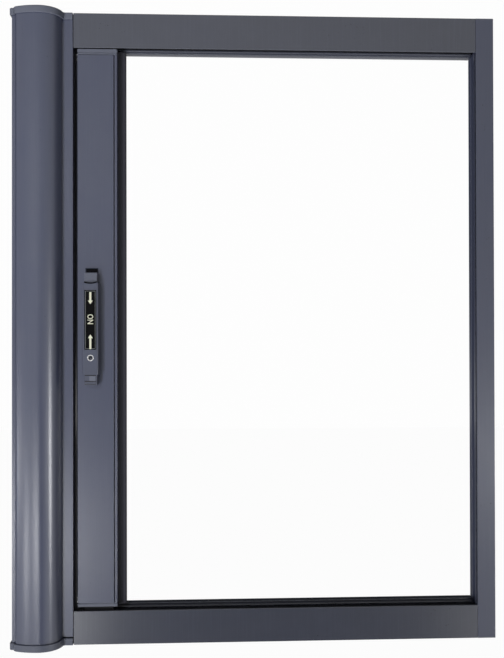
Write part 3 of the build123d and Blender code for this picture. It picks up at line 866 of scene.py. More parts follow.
class GeometryTree(TreeMaker):
    """A Geometry Nodes tree with named inputs."""

    def __init__(self, name: str, **inputs: str) -> None:
        """Start a tree with a geometry input and output.

        Args:
            name: The tree's name.
            **inputs: The kind of socket of each further input, by the input's name.
        """
        super().__init__(bpy.data.node_groups.new(name, "GeometryNodeTree"))
        sockets = self.tree.interface
        sockets.new_socket("Geometry", in_out="OUTPUT", socket_type="NodeSocketGeometry")
        self.ids: dict[str, str] = {}
        for key, kind in {"Geometry": "Geometry", **inputs}.items():
            made = sockets.new_socket(key, in_out="INPUT", socket_type=f"NodeSocket{kind}")
            self.ids[key] = made.identifier
        self.start = self.node("NodeGroupInput")

    def given(self, name: str) -> bpy.types.NodeSocket:
        """The socket that gives a named input."""
        return self.start.outputs[name]

    def close(self, instances: bpy.types.NodeSocket) -> None:
        """End the tree: instances are made real and get the material that the tree was given.

        Args:
            instances: The instances.
        """
        real = self.node("GeometryNodeRealizeInstances", None, {0: instances})
        coated = self.node("GeometryNodeSetMaterial", None, {
            "Geometry": real.outputs[0], "Material": self.given("Material")})
        self.node("NodeGroupOutput", None, {0: coated.outputs[0]})

    def grown(self, base: bpy.types.Mesh, name: str, values: Mapping[str, Any]) -> bpy.types.Mesh:
        """Run the tree on a base mesh.

        Args:
            base: The mesh that the tree starts from.
            name: The result's name.
            values: The tree's named inputs.

        Returns:
            The result as a plain mesh.
        """
        holder = linked(f"{name}_base", base)
        modifier = holder.modifiers.new("grow", "NODES")
        modifier.node_group = self.tree
        for key, value in values.items():
            modifier[self.ids[key]] = value
        bpy.context.view_layer.update()
        evaluated = holder.evaluated_get(bpy.context.evaluated_depsgraph_get())
        result = bpy.data.meshes.new_from_object(evaluated)
        result.name = name
        holder.modifiers.remove(modifier)
        bpy.data.objects.remove(holder)
        return result


class PileTree(GeometryTree):
    """Fine fibres that stand on a strip, a little uneven in lean and length."""

    SIDES = 3
    HALF_TURN = 3.14
    SHORTEST = 0.82
    LONGEST = 1.06

    def __init__(self) -> None:
        """Build the tree."""
        super().__init__("pile_fibres", Density="Float", Length="Float", Radius="Float", Lean="Float",
                         Seed="Int", Material="Material")
        roots = self.node("GeometryNodeDistributePointsOnFaces", None, {
            "Mesh": self.given("Geometry"), "Density": self.given("Density"),
            "Seed": self.given("Seed")})
        fibre = self.node("GeometryNodeMeshCone", {"fill_type": "TRIANGLE_FAN"}, {
            "Vertices": self.SIDES, "Radius Top": 0.0, "Radius Bottom": self.given("Radius"),
            "Depth": self.given("Length")})
        spread = self.term("FunctionNodeRandomValue", {"data_type": "FLOAT_VECTOR"}, {
            0: (-1.0, -1.0, -self.HALF_TURN), 1: (1.0, 1.0, self.HALF_TURN),
            "Seed": self.given("Seed")})
        along = self.node("ShaderNodeCombineXYZ", None, {
            "X": self.given("Lean"), "Y": self.given("Lean"), "Z": 1.0})
        lean = self.node("ShaderNodeVectorMath", {"operation": "MULTIPLY"}, {
            0: spread, 1: along.outputs[0]})
        turn = self.node("FunctionNodeEulerToRotation", None, {0: lean.outputs[0]})
        turned = self.node("FunctionNodeRotateRotation", {"rotation_space": "LOCAL"}, {
            0: roots.outputs["Rotation"], 1: turn.outputs[0]})
        length = self.term("FunctionNodeRandomValue", {"data_type": "FLOAT"}, {
            2: self.SHORTEST, 3: self.LONGEST, "Seed": self.given("Seed")}, 1)
        size = self.node("ShaderNodeCombineXYZ", None, {"X": 1.0, "Y": 1.0, "Z": length})
        placed = self.node("GeometryNodeInstanceOnPoints", None, {
            "Points": roots.outputs["Points"], "Instance": fibre.outputs["Mesh"],
            "Rotation": turned.outputs[0], "Scale": size.outputs[0]})
        self.close(placed.outputs[0])


class FittingTree(GeometryTree):
    """Copies of a small fitting at given points, each turned by its own amount up to Spin."""

    def __init__(self) -> None:
        """Build the tree."""
        super().__init__("set_out_fittings", Fitting="Object", Spin="Float", Seed="Int",
                         Material="Material")
        fitting = self.node("GeometryNodeObjectInfo", None, {"Object": self.given("Fitting")})
        way = self.node("GeometryNodeInputNamedAttribute", {"data_type": "FLOAT_VECTOR"},
                        {"Name": "way"})
        aimed = self.node("FunctionNodeAlignRotationToVector", {"axis": "Z"},
                          {"Vector": way.outputs[0]})
        spin = self.term("FunctionNodeRandomValue", {"data_type": "FLOAT"}, {
            2: 0.0, 3: self.given("Spin"), "Seed": self.given("Seed")}, 1)
        about = self.node("ShaderNodeCombineXYZ", None, {"Z": spin})
        turn = self.node("FunctionNodeEulerToRotation", None, {0: about.outputs[0]})
        turned = self.node("FunctionNodeRotateRotation", {"rotation_space": "LOCAL"}, {
            0: aimed.outputs[0], 1: turn.outputs[0]})
        placed = self.node("GeometryNodeInstanceOnPoints", None, {
            "Points": self.given("Geometry"), "Instance": fitting.outputs["Geometry"],
            "Rotation": turned.outputs[0]})
        self.close(placed.outputs[0])


@dataclass
class CrossScrew:
    """Head of a small cross-recess screw, flat side down on z = 0."""

    radius: float
    rise: float
    sink: float
    cross: float = 1.7 * MM
    bar: float = 0.52 * MM
    steps: int = 32
    # Shares of the radius and of the rise from the foot up, and the cross's share at its floor.
    DOME = ((1.0, 0.0), (1.0, 0.35), (0.93, 0.7), (0.8, 0.9), (0.62, 1.0))
    TAPER = 0.72
    EDGE_ANGLE = 40.0

    def mesh(self, name: str) -> bpy.types.Mesh:
        """Model the head.

        Args:
            name: The mesh's name.

        Returns:
            A domed disc with a cross sunk in its top.
        """
        head = Solid()
        rings = [head.ring(self.radius * out, self.rise * up, Matrix(), self.steps)
                 for out, up in self.DOME]
        head.mesh.faces.new(list(reversed(rings[0])))
        for lower, upper in zip(rings, rings[1:]):
            head.wall(lower, upper)
        mouth = self._cross(head, 1.0, self.rise)
        pit = self._cross(head, self.TAPER, self.rise - self.sink)
        head.wall(mouth, pit)
        head.mesh.faces.new(pit)
        edges = self._loop_edges(rings[-1]) + self._loop_edges(mouth)
        bmesh.ops.triangle_fill(head.mesh, edges=edges, use_beauty=True)
        return head.done(name, self.EDGE_ANGLE)

    def _cross(self, head: Solid, share: float, height: float) -> list[bmesh.types.BMVert]:
        """Add the twelve corners of the cross.

        Args:
            head: The screw's head.
            share: Their share of the cross's full size.
            height: How high they are.

        Returns:
            The corners in order.
        """
        far, near = self.cross * share, self.bar * share
        arm = ((far, -near), (far, near), (near, near))
        turns = [Matrix.Rotation(quarter * math.pi / 2, 3, "Z") for quarter in range(4)]
        return [head.mesh.verts.new(turn @ Vector((x, y, height))) for turn in turns for x, y in arm]

    @staticmethod
    def _loop_edges(loop: Sequence[bmesh.types.BMVert]) -> list[bmesh.types.BMEdge]:
        """Find the edges along a loop of points.

        Args:
            loop: The points in order.

        Returns:
            The edges.
        """
        edges = []
        for index, vertex in enumerate(loop):
            after = loop[(index + 1) % len(loop)]
            edges += [edge for edge in vertex.link_edges if edge.other_vert(vertex) is after]
        return edges


class Fittings:
    """Sets out copies of small fittings, such as screws and ribs."""

    def __init__(self) -> None:
        """Build the tree once."""
        self.tree = FittingTree()

    def add(self, name: str, model: bpy.types.Mesh, places: Sequence[tuple[Vector, Vector]], body: Body,
            finish: Finish, seed: int = 0, spin: float = math.pi / 2,
            replaces: Sequence[str] = ()) -> None:
        """Put copies of a fitting at places.

        Args:
            name: The set's name.
            model: One fitting, drawn about its seat with its front up z.
            places: Each copy's seat and the way that its front faces.
            body: The body that the set rides on.
            finish: The fittings' finish.
            seed: Seed of their turns.
            spin: How far a copy may be turned about its axis.
            replaces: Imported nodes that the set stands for.
        """
        fitting = linked(f"{name}_fitting", model)
        points = bpy.data.meshes.new(f"{name}_points")
        points.from_pydata([seat for seat, _ in places], [], [])
        ways = points.attributes.new("way", "FLOAT_VECTOR", "POINT")
        ways.data.foreach_set("vector", [share for _, way in places for share in way])
        grown = self.tree.grown(points, name, {
            "Fitting": fitting, "Spin": spin, "Seed": seed, "Material": finish.material()})
        bpy.data.objects.remove(fitting)
        standing(name, grown, body, finish, replaces)


@dataclass
class PileBed:
    """Where one pile strip lies: its floor's middle line and the way that its fibres stand."""

    foot: Vector
    along: Vector
    out: Vector
    height: float

    @property
    def across(self) -> Vector:
        """The way across the strip."""
        return self.along.normalized().cross(self.out)

    def place(self) -> Matrix:
        """Work out the place that the strip's section is drawn in.

        Returns:
            A place with x across the strip, y out of it and z along it.
        """
        way = self.along.normalized()
        axes = Matrix((self.out.cross(way), self.out, way)).transposed().to_4x4()
        return Matrix.Translation(self.foot) @ axes


def facing_beds(node: str, start: Vector, along: Vector, height: float) -> list[PileBed]:
    """Lay two strips of pile that face each other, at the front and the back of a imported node.

    Args:
        node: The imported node.
        start: Where they start, apart from their depth.
        along: How they run from there.
        height: How high their pile stands.

    Returns:
        The two strips.
    """
    return [PileBed(Vector((start.x, y, start.z)), along, Vector((0.0, way, 0.0)), height)
            for y, way in ((low(node).y, 1.0), (high(node).y, -1.0))]


@dataclass
class PileMaker:
    """Makes brush pile: a woven backing, a firm core and the fibres that stand round it."""

    density: float = 5.0e6
    radius: float = 0.14 * MM
    lean: float = 0.12
    backing_half: float = 2.55 * MM
    backing_depth: float = 1.15 * MM
    pile_half: float = 1.45 * MM
    bare_side: float = 0.25 * MM
    bare_tip: float = 1.5 * MM
    tree: PileTree = field(default_factory=PileTree)

    def brush(self, node: str, beds: Sequence[PileBed], seed: int) -> None:
        """Make the pile that stands for a node.

        Args:
            node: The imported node.
            beds: The strips of the pile.
            seed: Seed of the fibres' places and leans.
        """
        core = Solid()
        side, deep, half = self.backing_half, self.backing_depth, self.pile_half - self.bare_side
        for bed in beds:
            firm = bed.height - self.bare_tip
            outline = [(-side, 0.0), (side, 0.0), (side, deep), (half, deep), (half, firm),
                       (-half, firm), (-half, deep), (-side, deep)]
            core.prism(outline, bed.along.length, bed.place())
        core.stand(f"{node}_backing", Body.FRAME, PILE_BACKING, [node])
        roots = bmesh.new()
        for bed in beds:
            reach = bed.across * self.pile_half
            base = bed.foot + bed.out * self.backing_depth
            corners = (base - reach, base + reach, base + reach + bed.along,
                       base - reach + bed.along)
            face = roots.faces.new([roots.verts.new(corner) for corner in corners])
            face.normal_update()
            if face.normal.dot(bed.out) < 0:
                face.normal_flip()
        base_mesh = bpy.data.meshes.new(f"{node}_roots")
        roots.to_mesh(base_mesh)
        roots.free()
        fibres = self.tree.grown(base_mesh, f"{node}_fibres", {
            "Density": self.density, "Length": beds[0].height - self.backing_depth,
            "Radius": self.radius, "Lean": self.lean, "Seed": seed, "Material": PILE.material()})
        standing(f"{node}_fibres", fibres, Body.FRAME, PILE)


@dataclass
class Cassette:
    """Round-fronted housing at the left: two extrusions, two moulded caps and the slot's piles."""

    dresser: Dresser
    piles: PileMaker
    fittings: Fittings
    cap_ease: float = 0.6 * MM
    screw_inset: float = 3.9 * MM
    pile_height: float = 5.7 * MM
    # Corners, front and depth of the dark strip above the bottom cap, a painted shadow of the cap's
    # rim.
    seam: tuple[Point2, Point2] = ((24.4 * MM, -391.3 * MM), (36.7 * MM, -389.7 * MM))
    seam_front: float = -34.95 * MM
    seam_depth: float = 0.2 * MM

    def build(self) -> None:
        """Build the cassette."""
        for shell in ("cassette_back_shell", "cassette_round_cover"):
            self.dresser.redraw(shell, Body.FRAME, SLATE_COAT)
        # The bottom cap gets the darker copy of the cap moulding, as painted shade.
        for end, moulding in ((End.TOP, CAP_MOULDING), (End.BOTTOM, SHADED_FOOT_CAP)):
            self.dresser.redraw(f"cassette_{end.word}_cap", Body.FRAME, moulding, self.cap_ease,
                                least=0.0)
        self._cap_screws()
        self._foot_seam()
        self._slot_piles()

    def _cap_screws(self) -> None:
        """Two screws through each cap into the shell's corners."""
        left = low("cassette_back_shell").x + self.screw_inset
        right = high("cassette_back_shell").x - self.screw_inset
        screw = CrossScrew(radius=2.7 * MM, rise=0.6 * MM, sink=0.5 * MM)
        places = [(Vector((x, -self.screw_inset, high("cassette_top_cap").z * end.value)),
                   Vector((0.0, 0.0, end.value))) for end in End for x in (left, right)]
        self.fittings.add("cassette_cap_screws", screw.mesh("cap_screw"), places, Body.FRAME, PLATE,
                          seed=3)

    def _foot_seam(self) -> None:
        """A dark strip across the shell's flange, above the bottom cap: painted shadow of the cap's
        rim.
        """
        seam = Solid().slab(*self.seam, self.seam_depth, front_at(self.seam_front))
        seam.stand("cassette_foot_seam", Body.FRAME, PAINTED_SHADE)

    def _slot_piles(self) -> None:
        """Pile on both sides of the screen's slot."""
        node = "cassette_slot_piles"
        foot, head = low(node), high(node)
        start = Vector((middle(node).x, 0.0, foot.z))
        along = Vector((0.0, 0.0, head.z - foot.z))
        self.piles.brush(node, facing_beds(node, start, along, self.pile_height), seed=11)


@dataclass
class RollerScreen:
    """Sprung roller with the screen wound on it and led out to the pull bar."""

    dresser: Dresser
    pitch: float = 0.28 * MM
    first_radius: float = 12.65 * MM
    turns: float = 6.3
    slot_x: float = 34.0 * MM
    wrap: float = 2.33 * MM
    wrap_step: float = math.radians(12)
    wrap_points: int = 20
    turn_points: int = 40
    led_points: int = 6
    free_points: int = 10
    rows: int = 13

    def build(self) -> None:
        """Build the roller and its screen."""
        self.dresser.redraw("roller_tube", Body.FRAME, TUBE_METAL)
        for end in End:
            self.dresser.redraw(f"roller_{end.word}_bearing", Body.FRAME, NYLON)
        self._cloth()

    def _path(self) -> list[Vector]:
        """Draw the cloth's line in plan, from the tube out to the bar's spline.

        Returns:
            Its points in order.
        """
        tube, spline = middle("roller_tube"), middle("mesh_spline")
        centre, hub = tube.xy, spline.xy
        mouth = Vector((self.slot_x, spline.y))
        outer = self.first_radius + self.turns * self.pitch
        reach = mouth - centre
        last = math.atan2(reach.y, reach.x) + math.acos(outer / reach.length)
        steps = round(self.turns * self.turn_points)
        path = []
        for step in range(steps + 1):
            share = step / steps
            angle = last + (1 - share) * self.turns * 2 * math.pi
            radius = self.first_radius + share * self.turns * self.pitch
            path.append(centre + radius * Vector((math.cos(angle), math.sin(angle))))
        start = path[-1]
        path += [start.lerp(mouth, step / self.led_points) for step in range(1, self.led_points + 1)]
        near, far = (Vector((corner("screen_mesh").x, mouth.y)) for corner in (low, high))
        path += [near.lerp(far, step / self.free_points) for step in range(self.free_points + 1)]
        angles = [math.pi + self.wrap_step * step for step in range(self.wrap_points)]
        return path + [hub + self.wrap * Vector((math.cos(a), math.sin(a))) for a in angles]

    def _cloth(self) -> None:
        """The screen as one sheet of woven cloth."""
        path = self._path()
        foot, head = low("screen_mesh").z, high("screen_mesh").z
        heights = [foot + (head - foot) * row / (self.rows - 1) for row in range(self.rows)]
        cloth = bmesh.new()
        grid = [[cloth.verts.new((point.x, point.y, height)) for height in heights] for point in path]
        for first, second in zip(grid, grid[1:]):
            for row in range(self.rows - 1):
                cloth.faces.new((first[row], second[row], second[row + 1], first[row + 1]))
        data = bpy.data.meshes.new("insect_screen_cloth")
        cloth.to_mesh(data)
        cloth.free()
        data.shade_smooth()
        data.materials.append(CLOTH.material())
        piece = linked("insect_screen_cloth", data)
        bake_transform(piece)
        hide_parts("screen_mesh", "screen_roll")
        length = sum((second - first).length for first, second in zip(path, path[1:]))
        LOG.info("insect_screen_cloth: %.3f m by %.3f m", head - foot, length)


@dataclass
class Rail:
    """Top or bottom guide rail: a channel with two brush strips and plugs in its ends."""

    dresser: Dresser
    piles: PileMaker
    end: End
    ease: float = 0.6 * MM
    lip: float = 1.5 * MM
    pile_height: float = 6.2 * MM

    def build(self) -> None:
        """Build the rail."""
        self.dresser.redraw(f"{self.end.word}_rail", Body.FRAME, RAIL_COAT, self.ease, lip=self.lip)
        self.dresser.redraw(f"{self.end.word}_rail_plugs", Body.FRAME, NYLON, 0.0)
        node = f"{self.end.word}_rail_piles"
        foot, head = low(node), high(node)
        start = Vector((foot.x, 0.0, middle(node).z))
        along = Vector((head.x - foot.x, 0.0, 0.0))
        beds = facing_beds(node, start, along, self.pile_height)
        self.piles.brush(node, beds, seed=5 + self.end.value)


@dataclass
class StrikeJamb:
    """Channel at the right that the bar closes into, with its magnet strip and end caps."""

    dresser: Dresser
    piles: PileMaker
    ease: float = 0.6 * MM

    def build(self) -> None:
        """Build the jamb."""
        self.dresser.redraw("strike_jamb", Body.FRAME, SLATE_COAT, self.ease)
        self.dresser.redraw("jamb_end_caps", Body.FRAME, CAP_MOULDING)
        self.dresser.redraw("jamb_magnet_strip", Body.FRAME, MAGNET)
        foot, head = low("jamb_pile"), high("jamb_pile")
        bed = PileBed(Vector((head.x, middle("jamb_pile").y, foot.z)),
                      Vector((0.0, 0.0, head.z - foot.z)), Vector((-1.0, 0.0, 0.0)),
                      head.x - foot.x)
        self.piles.brush("jamb_pile", [bed], seed=17)


@dataclass
class PullBar:
    """Sliding bar that draws the screen out, with its caps, shoes, seal and spline."""

    dresser: Dresser

    def build(self) -> None:
        """Build the bar."""
        self.dresser.redraw("pull_bar", Body.PULL_BAR, SLATE_COAT)
        for end in End:
            self.dresser.redraw(f"pull_bar_{end.word}_cap", Body.PULL_BAR, CAP_MOULDING)
            self.dresser.redraw(f"{end.word}_guide_shoe", Body.PULL_BAR, NYLON)
        self.dresser.redraw("closing_seal", Body.PULL_BAR, SEAL)
        self.dresser.redraw("mesh_spline", Body.PULL_BAR, SEAL)
        self.dresser.redraw("rear_finger_pull", Body.PULL_BAR, HANDLE_MOULDING)


@dataclass
class LatchHandle:
    """Moulded latch housing with its black plate, its screw and two sliding buttons."""

    dresser: Dresser
    fittings: Fittings
    plate_ease: float = 0.1 * MM
    button_ease: float = 0.15 * MM
    # Radius and height round the cup washer's section, in millimetres.
    CUP = ((2.95, 0.0), (3.3, 0.0), (3.3, 2.02), (3.95, 2.02), (4.0, 2.6), (3.85, 2.95), (3.55, 3.08),
           (3.25, 2.95), (2.95, 2.2))
    CUP_STEPS = 56
    CUP_ANGLE = 50.0

    def build(self) -> None:
        """Build the handle."""
        self.dresser.redraw("handle_body", Body.PULL_BAR, HANDLE_MOULDING, 0.0)
        self.dresser.redraw("handle_label", Body.PULL_BAR, FILM, self.plate_ease)
        self.dresser.redraw("top_button", Body.TOP_BUTTON, BUTTON_MOULDING, 0.0)
        self.dresser.redraw("bottom_button", Body.BOTTOM_BUTTON, HANDLE_MOULDING, self.button_ease)
        self._screw()
        LabelPrint().build()
        UpperButton(self.fittings).build()
        LowerButton().build()

    def _screw(self) -> None:
        """The screw that holds the housing, in a bright cup washer."""
        centre = middle("handle_screw")
        seat = Vector((centre.x, high("handle_screw").y, centre.z))
        front = Vector((0.0, -1.0, 0.0))
        screw = CrossScrew(radius=2.85 * MM, rise=2.5 * MM, sink=0.9 * MM, cross=2.0 * MM,
                           bar=0.5 * MM, steps=48)
        self.fittings.add("handle_cross_screw", screw.mesh("housing_screw"), [(seat, front)],
                          Body.PULL_BAR, DARK_STEEL, seed=2, replaces=["handle_screw"])
        cup = [(radius * MM, height * MM) for radius, height in self.CUP]
        washer = Solid().turned(cup, facing(seat, front), self.CUP_STEPS)
        washer.stand("handle_cup_washer", Body.PULL_BAR, PLATE, angle=self.CUP_ANGLE)


@dataclass
class LabelPrint:
    """The plate's raised print: two arrows and the switch's word on its side; and a thin pale border
    that paints the highlight along the plate's edge.
    """

    ink: float = 0.05 * MM
    bedded: float = 0.01 * MM
    arrows: tuple[Point2, ...] = ((29.9 * MM, 45.0 * MM), (-8.1 * MM, -26.3 * MM))
    shaft: float = 2.6 * MM
    barb: float = 6.2 * MM
    barb_length: float = 4.6 * MM
    letter_height: float = 7.2 * MM
    pen: float = 0.95 * MM
    o_level: float = 14.2 * MM
    o_width: float = 5.7 * MM
    o_points: int = 36
    n_top: float = 10.4 * MM
    n_bottom: float = 5.0 * MM
    n_crossing: float = 1.02
    border_inset: float = 1.4 * MM
    border_line: float = 0.3 * MM

    def build(self) -> None:
        """Print the plate."""
        face = front_at(low("handle_label").y + self.bedded)
        centre = middle("handle_label").x
        marks = Solid()
        for tip, tail in self.arrows:
            marks.prism(self._arrow(centre, tip, tail), self.ink, face)
        self._letter_o(marks, centre, face)
        self._letter_n(marks, centre, face)
        marks.stand("handle_label_marks", Body.PULL_BAR, CREAM_INK)
        # The border lines are a painted highlight along the plate's edge.
        border = Solid()
        inset = Vector((self.border_inset, 0.0, self.border_inset))
        lowest, highest = low("handle_label") + inset, high("handle_label") - inset
        left, right, bottom, top = lowest.x, highest.x, lowest.z, highest.z
        for start, stop in (((left, bottom), (left, top)), ((right, bottom), (right, top)),
                            ((left, bottom), (right, bottom)), ((left, top), (right, top))):
            border.prism(stroke(start, stop, self.border_line), self.ink / 2, face)
        border.stand("handle_label_border", Body.PULL_BAR, BORDER_HIGHLIGHT_INK)

    def _arrow(self, centre: float, tip: float, tail: float) -> list[Point2]:
        """Outline of an arrow.

        Args:
            centre: Where its middle line is.
            tip: Height of its tip.
            tail: Height of its shaft's end.

        Returns:
            Its outline.
        """
        way = 1.0 if tip > tail else -1.0
        neck = tip - way * self.barb_length
        half, wide = self.shaft / 2, self.barb / 2
        outline = [(half, tail), (half, neck), (wide, neck), (0.0, tip), (-wide, neck),
                   (-half, neck), (-half, tail)]
        return [(centre + x, z) for x, z in (outline if way > 0 else reversed(outline))]

    def _letter_o(self, marks: Solid, centre: float, face: Matrix) -> None:
        """Add an O that lies on its side, as a flat ring.

        Args:
            marks: The print.
            centre: Where the word's middle line is.
            face: The plate's place.
        """
        ring = []
        for step in range(self.o_points):
            angle = 2 * math.pi * step / self.o_points
            ring.append([(centre + (self.letter_height / 2 - rim) * math.cos(angle),
                          self.o_level + (self.o_width / 2 - rim) * math.sin(angle))
                         for rim in (0.0, self.pen)])
        for first, second in zip(ring, ring[1:] + ring[:1]):
            marks.prism([first[0], second[0], second[1], first[1]], self.ink, face)

    def _letter_n(self, marks: Solid, centre: float, face: Matrix) -> None:
        """Add an N that lies on its side, with its own top to the right.

        Args:
            marks: The print.
            centre: Where the word's middle line is.
            face: The plate's place.
        """
        inset = self.pen / 2
        left, right = centre - self.letter_height / 2, centre + self.letter_height / 2
        top, bottom = self.n_top - inset, self.n_bottom + inset
        for level in (top, bottom):
            marks.prism(stroke((left, level), (right, level), self.pen), self.ink, face)
        marks.prism(stroke((right - inset, top), (left + inset, bottom), self.pen),
                    self.ink * self.n_crossing, face)


@dataclass
class UpperButton:
    """What shows of the upper button: its ribs, and dark plates that paint the shade at the pocket's
    mouth and the shadow above the button.
    """

    fittings: Fittings
    ribs: int = 9
    rib_width: float = 0.55 * MM
    rib_height: float = 0.35 * MM
    rib_bedded: float = 0.1 * MM
    rib_inset: float = 2.0 * MM
    rib_foot: float = 0.6 * MM
    rib_head: float = 1.2 * MM
    # The dark curved strip at the pocket's mouth, which paints the shade of the housing's top edge on
    # the button.
    lip_half: float = 8.0 * MM
    lip_above: float = 1.7 * MM
    lip_below: float = 0.8 * MM
    lip_sag: float = 1.3 * MM
    lip_gap: float = 0.55 * MM
    lip_depth: float = 1.9 * MM
    lip_steps: int = 12
    # The painted shadow above the button: its corners on the bar's face, the width of its soft edge and
    # the two plates' depths.
    slot: tuple[Point2, Point2] = ((52.2 * MM, 61.0 * MM), (68.6 * MM, 76.3 * MM))
    slot_rim: float = 1.1 * MM
    rim_depth: float = 0.06 * MM
    floor_depth: float = 0.12 * MM

    def build(self) -> None:
        """Build the button's small pieces."""
        self._ribs()
        self._lip()
        self._slot()

    def _ribs(self) -> None:
        """Fine upright ribs on the button's face."""
        foot, head = low("top_button"), high("top_button")
        bottom, top = high("handle_body").z + self.rib_foot, head.z - self.rib_head
        outline = stroke((0.0, bottom), (0.0, top), self.rib_width)
        rib = Solid().prism(outline, self.rib_height, Matrix())
        first, depth = foot.x + self.rib_inset, foot.y + self.rib_bedded
        step = (head.x - foot.x - 2 * self.rib_inset) / (self.ribs - 1)
        places = [(Vector((first + index * step, depth, 0.0)), Vector((0.0, -1.0, 0.0)))
                  for index in range(self.ribs)]
        self.fittings.add("top_button_ribs", rib.done("button_rib"), places, Body.TOP_BUTTON,
                          BUTTON_MOULDING, spin=0.0)

    def _lip(self) -> None:
        """A dark curved strip at the pocket's mouth over the button, painted shade of the housing's top
        edge.
        """
        centre, level = middle("handle_label").x, high("handle_body").z
        shares = [2 * step / self.lip_steps - 1 for step in range(self.lip_steps + 1)]
        curve = [(centre + share * self.lip_half, level - self.lip_sag * (1 - share * share))
                 for share in shares]
        outline = [(x, z - self.lip_below) for x, z in curve]
        outline += [(x, z + self.lip_above) for x, z in reversed(curve)]
        # This strip is painted shade of the housing's edge.
        lip = Solid().prism(outline, self.lip_depth, front_at(low("top_button").y - self.lip_gap))
        lip.stand("handle_mouth_lip", Body.PULL_BAR, PAINTED_SHADE)

    def _slot(self) -> None:
        """Dark plates on the bar above the button: a painted shadow of the button, with a rim of
        painted soft shadow round it.
        """
        face = front_at(low("pull_bar").y)
        (left, bottom), (right, top) = self.slot
        inner = ((left + self.slot_rim, bottom), (right - self.slot_rim, top - self.slot_rim))
        # The rim paints the shadow's soft edge and the floor its dark middle.
        rim = Solid().slab(*self.slot, self.rim_depth, face)
        rim.stand("button_slot_rim", Body.PULL_BAR, PENUMBRA_FILM)
        floor = Solid().slab(*inner, self.floor_depth, face)
        floor.stand("button_slot_floor", Body.PULL_BAR, PAINTED_SHADE)


@dataclass
class LowerButton:
    """What shows of the lower button: a raised pad, and dark strips across it that paint the shade of
    grooves.
    """

    bedded: float = 0.05 * MM
    pad_left: float = 6.6 * MM
    pad_right: float = 1.8 * MM
    pad_bottom: float = -66.3 * MM
    pad_top: float = -60.3 * MM
    pad_height: float = 0.35 * MM
    # Height and width of each dark strip of painted groove shade.
    grooves: tuple[Point2, ...] = ((-67.1 * MM, 0.9 * MM), (-70.6 * MM, 0.6 * MM),
                                   (-59.4 * MM, 0.9 * MM))
    groove_left: float = 1.0 * MM
    groove_right: float = 1.2 * MM
    groove_height: float = 0.08 * MM

    def build(self) -> None:
        """Build the button's small pieces."""
        foot, head = low("bottom_button"), high("bottom_button")
        place = front_at(foot.y + self.bedded)
        pad = Solid().slab((foot.x + self.pad_left, self.pad_bottom),
                           (head.x - self.pad_right, self.pad_top), self.pad_height, place)
        pad.stand("bottom_button_pad", Body.BOTTOM_BUTTON, LIGHT_MOULDING)
        # The dark strips are painted shade of grooves across the button.
        left, right = foot.x + self.groove_left, head.x - self.groove_right
        grooves = Solid()
        for level, tall in self.grooves:
            grooves.prism(stroke((left, level), (right, level), tall), self.groove_height, place)
        grooves.stand("bottom_button_grooves", Body.BOTTOM_BUTTON, NYLON)


@dataclass(frozen=True)
class Lamp:
    """A soft rectangular light, placed by the angles at which the object sees it."""

    name: str
    aim: tuple[float, float, float]
    azimuth: float
    elevation: float
    spread: tuple[float, float]
    level: float
    glint: bool = True
    distance: float = 1.6

    def hang(self) -> None:
        """Hang the light; a glint only shows in reflections, and the key lights without one."""
        turn, tilt = math.radians(self.azimuth), math.radians(self.elevation)
        way = Vector((math.sin(turn) * math.cos(tilt), -math.cos(turn) * math.cos(tilt),
                      math.sin(tilt)))
        data = bpy.data.lights.new(self.name, "AREA")
        data.shape = "RECTANGLE"
        data.size, data.size_y = (2 * self.distance * math.tan(math.radians(side) / 2)
                                  for side in self.spread)
        data.energy = self.level * math.pi * data.size * data.size_y
        lamp = linked(self.name, data)
        lamp.location = Vector(self.aim) + way * self.distance
        lamp.rotation_euler = (-way).to_track_quat("-Z", "Y").to_euler()
        lamp.visible_diffuse = not self.glint
        lamp.visible_glossy = self.glint
        lamp.visible_camera = False


